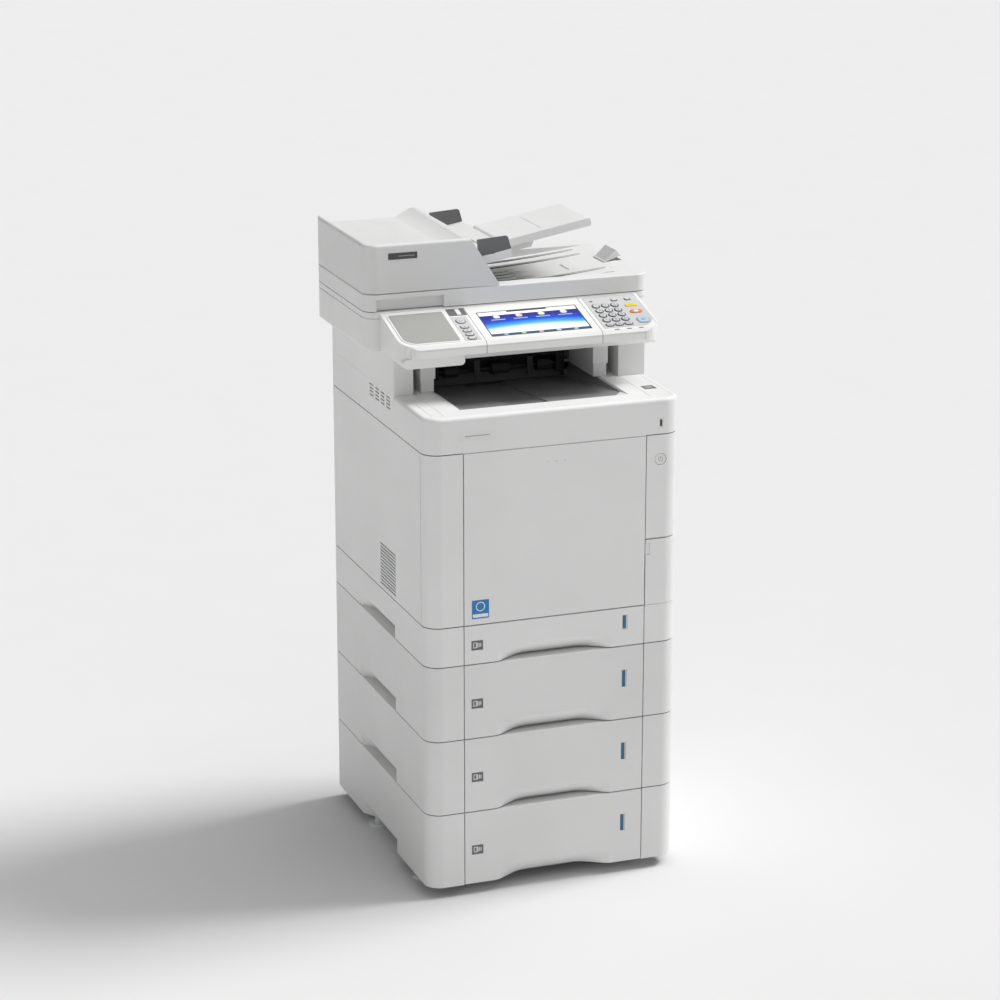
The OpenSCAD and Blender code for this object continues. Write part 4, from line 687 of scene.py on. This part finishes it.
# Dark plate at the back of the output bay: painted shade of the bay's deep back
BAY_BACK = front_face(edge_mm("output_tray", 1, 1) + 0.3)
BAY_WALL_SHADE = moulded("bay_wall_painted_shade", (0.11, 0.11, 0.112), rough=0.5, depth=0.00006)
plate("bay_wall", moved(rounded(226, 15, 1), -5, Z_DECK - 15.6), 0.0, 0.5, BAY_WALL_SHADE, "machine", BAY_BACK,
      0.2)

# ---------- dark lines between the stacked covers ----------

HALF_BODY, HALF_DRAWER, Y_BACK = 195, 140, edge_mm("left_cover", 1, 1)
SEAM_IN, SEAM_LOW, SEAM_HIGH = 1.1, 0.02, 1.35
CORNER_R, CORNER_STEPS = 25, 8
# Where the side grips interrupt a groove
GRIP_FRONT, GRIP_BACK = -89, 81


def ribbon(name, points, z0, z1):
    """Upright strip at the bottom of a groove, along points, from height z0 to z1."""
    def build(bm):
        levels = (z0, (z0 + z1) / 2, z1)
        fill_grid(bm, [[bm.verts.new((x * MM, y * MM, z * MM)) for x, y in points] for z in levels])
    thicken(piece(name, build, SEAM, "machine"), 0.1)


def front_corner(side):
    """The front end of a groove, from the drawers' edge round the corner to the side."""
    out, r = [(side * HALF_DRAWER, Y_FRONT + SEAM_IN)], CORNER_R - SEAM_IN
    for k in range(CORNER_STEPS + 1):
        a = math.radians(90 * k / CORNER_STEPS)
        out.append((side * (HALF_BODY - CORNER_R + r * math.sin(a)), Y_FRONT + CORNER_R - r * math.cos(a)))
    return out


# Height of each groove, and whether the side grips interrupt it; the one over the first drawer leaves out
# the right front corner
Z_DOOR = edge_mm("base_housing", 1, 2)
LEVELS = [(edge_mm(n, 0, 2), True) for n in ("base_housing", "feeder_housing_2", "feeder_housing_3")]
LEVELS += [(Z_DOOR, False), (edge_mm("top_cover", 0, 2), False)]
for i, (z, grips) in enumerate(LEVELS):
    for side in (-1, 1):
        wall_x = side * (HALF_BODY - SEAM_IN)
        start = [(wall_x, Y_FRONT + CORNER_R + 1)] if z == Z_DOOR and side > 0 else front_corner(side)
        runs = [start + [(wall_x, GRIP_FRONT)], [(wall_x, GRIP_BACK), (wall_x, Y_BACK - SEAM_IN)]]
        if not grips:
            runs = [runs[0] + runs[1]]
        if z != Z_DOOR:
            runs[-1].append((0, Y_BACK - SEAM_IN))
        for k, run in enumerate(runs):
            ribbon(f"seam_{i}_{'left' if side < 0 else 'right'}_{k}", run, z + SEAM_LOW, z + SEAM_HIGH)

# ---------- back: rating plate and screws ----------

# Local x to the left as the machine stands, local y up, local z away from the back
BACK = Matrix.Translation((0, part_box("left_cover")[1][1], 0)) @ Matrix(
    ((-1, 0, 0, 0), (0, 0, 1, 0), (0, 1, 0, 0), (0, 0, 0, 1)))
plate("rating_plate", moved(rounded(64, 26, 2), -10, 436), -0.1, 0.2,
      printed("rating_plate", (0.62, 0.62, 0.62), 0.4), "machine", BACK, FINE)
for k in range(4):
    plate(f"rating_line_{k}", moved(rounded(44 - 7 * (k % 2), 1.2, 0.4), -14, 444 - 5.2 * k), 0.1, 0.26,
          BADGE_LINE, "machine", BACK, 0.03)


def screw(name, x, z):
    """Pan-head screw on the back, with a cross recess."""
    count = 24
    profile = ((3.4, -0.3), (3.4, 0.5), (3.0, 1.1), (2.0, 1.5), (1.5, 1.5))
    head = [([radius] * count, height) for radius, height in profile]
    recess = ([1.35 if k % 6 == 0 else 0.45 for k in range(count)], 0.7)

    def build(bm):
        rings = [[bm.verts.new(((x + radius * math.cos(2 * math.pi * k / count)) * MM,
                                (z + radius * math.sin(2 * math.pi * k / count)) * MM, height * MM))
                  for k, radius in enumerate(radii)] for radii, height in head + [recess]]
        for low, high in zip(rings, rings[1:]):
            for k in range(count):
                bm.faces.new((low[k], low[(k + 1) % count], high[(k + 1) % count], high[k]))
        bm.faces.new(rings[-1])
        bm.faces.new(rings[0])
    piece(name, build, STEEL, "machine", BACK)


SCREWS = ((178, 662), (-178, 662), (178, 560), (-178, 560), (-178, 430), (120, 432), (-100, 432))
for i, (x, z) in enumerate(SCREWS):
    screw(f"back_screw_{i}", x, z)

# ---------- floor, light and camera ----------

FLOOR = moulded("floor", (0.725, 0.725, 0.725), rough=0.8, grain=60, depth=0.0002, mottle=0.004)
FLOOR.node_tree.nodes["Principled BSDF"].inputs["Specular IOR Level"].default_value = 0.0
FLOOR_HALF, FLOOR_CELLS = 30.0, 12  # in metres, and in cells along each side
marks = [(2 * i / FLOOR_CELLS - 1) * FLOOR_HALF for i in range(FLOOR_CELLS + 1)]
bm = bmesh.new()
fill_grid(bm, [[bm.verts.new((x, y, 0)) for x in marks] for y in marks])
floor = mesh_object("floor", bm, FLOOR)


def sun(name, azimuth, elevation, spread, strength):
    """Soft distant light; azimuth 0 is in front of the machine and 90 on its right; angles in degrees."""
    data = bpy.data.lights.new(name, "SUN")
    data.angle = math.radians(spread)
    data.energy = strength
    obj = bpy.data.objects.new(name, data)
    bpy.context.collection.objects.link(obj)
    a, e = math.radians(azimuth), math.radians(elevation)
    towards = Vector((math.sin(a) * math.cos(e), -math.cos(a) * math.cos(e), math.sin(e)))
    obj.rotation_euler = towards.to_track_quat("Z", "Y").to_euler()


# Azimuth, elevation, spread and strength of each light: the key, the wide part of it above, two weak fills
LIGHTS = {"key": (90, 47, 22, 2.45), "high_key": (90, 70, 50, 0.95), "left_fill": (-90, 25, 60, 0.34),
          "front_fill": (0, 38, 60, 0.36)}
SKY_STRENGTH = 0.2
for name, setting in LIGHTS.items():
    sun(name, *setting)

world = bpy.data.worlds.new("studio")
world.use_nodes = True
world.node_tree.nodes["Background"].inputs["Color"].default_value = (1.0, 1.0, 1.0, 1)
world.node_tree.nodes["Background"].inputs["Strength"].default_value = SKY_STRENGTH
bpy.context.scene.world = world
bpy.context.scene.view_settings.view_transform = "Standard"

CAMERA_AT = (-1.5064, -4.0919, 1.8281)
YAW, PITCH, LENS = 20.24, 16.63, 108.94
data = bpy.data.cameras.new("camera")
data.lens = LENS
data.sensor_width = 36
camera = bpy.data.objects.new("camera", data)
bpy.context.collection.objects.link(camera)
camera.location = CAMERA_AT
camera.rotation_euler = (math.radians(90 - PITCH), 0, math.radians(-YAW))
bpy.context.scene.camera = camera
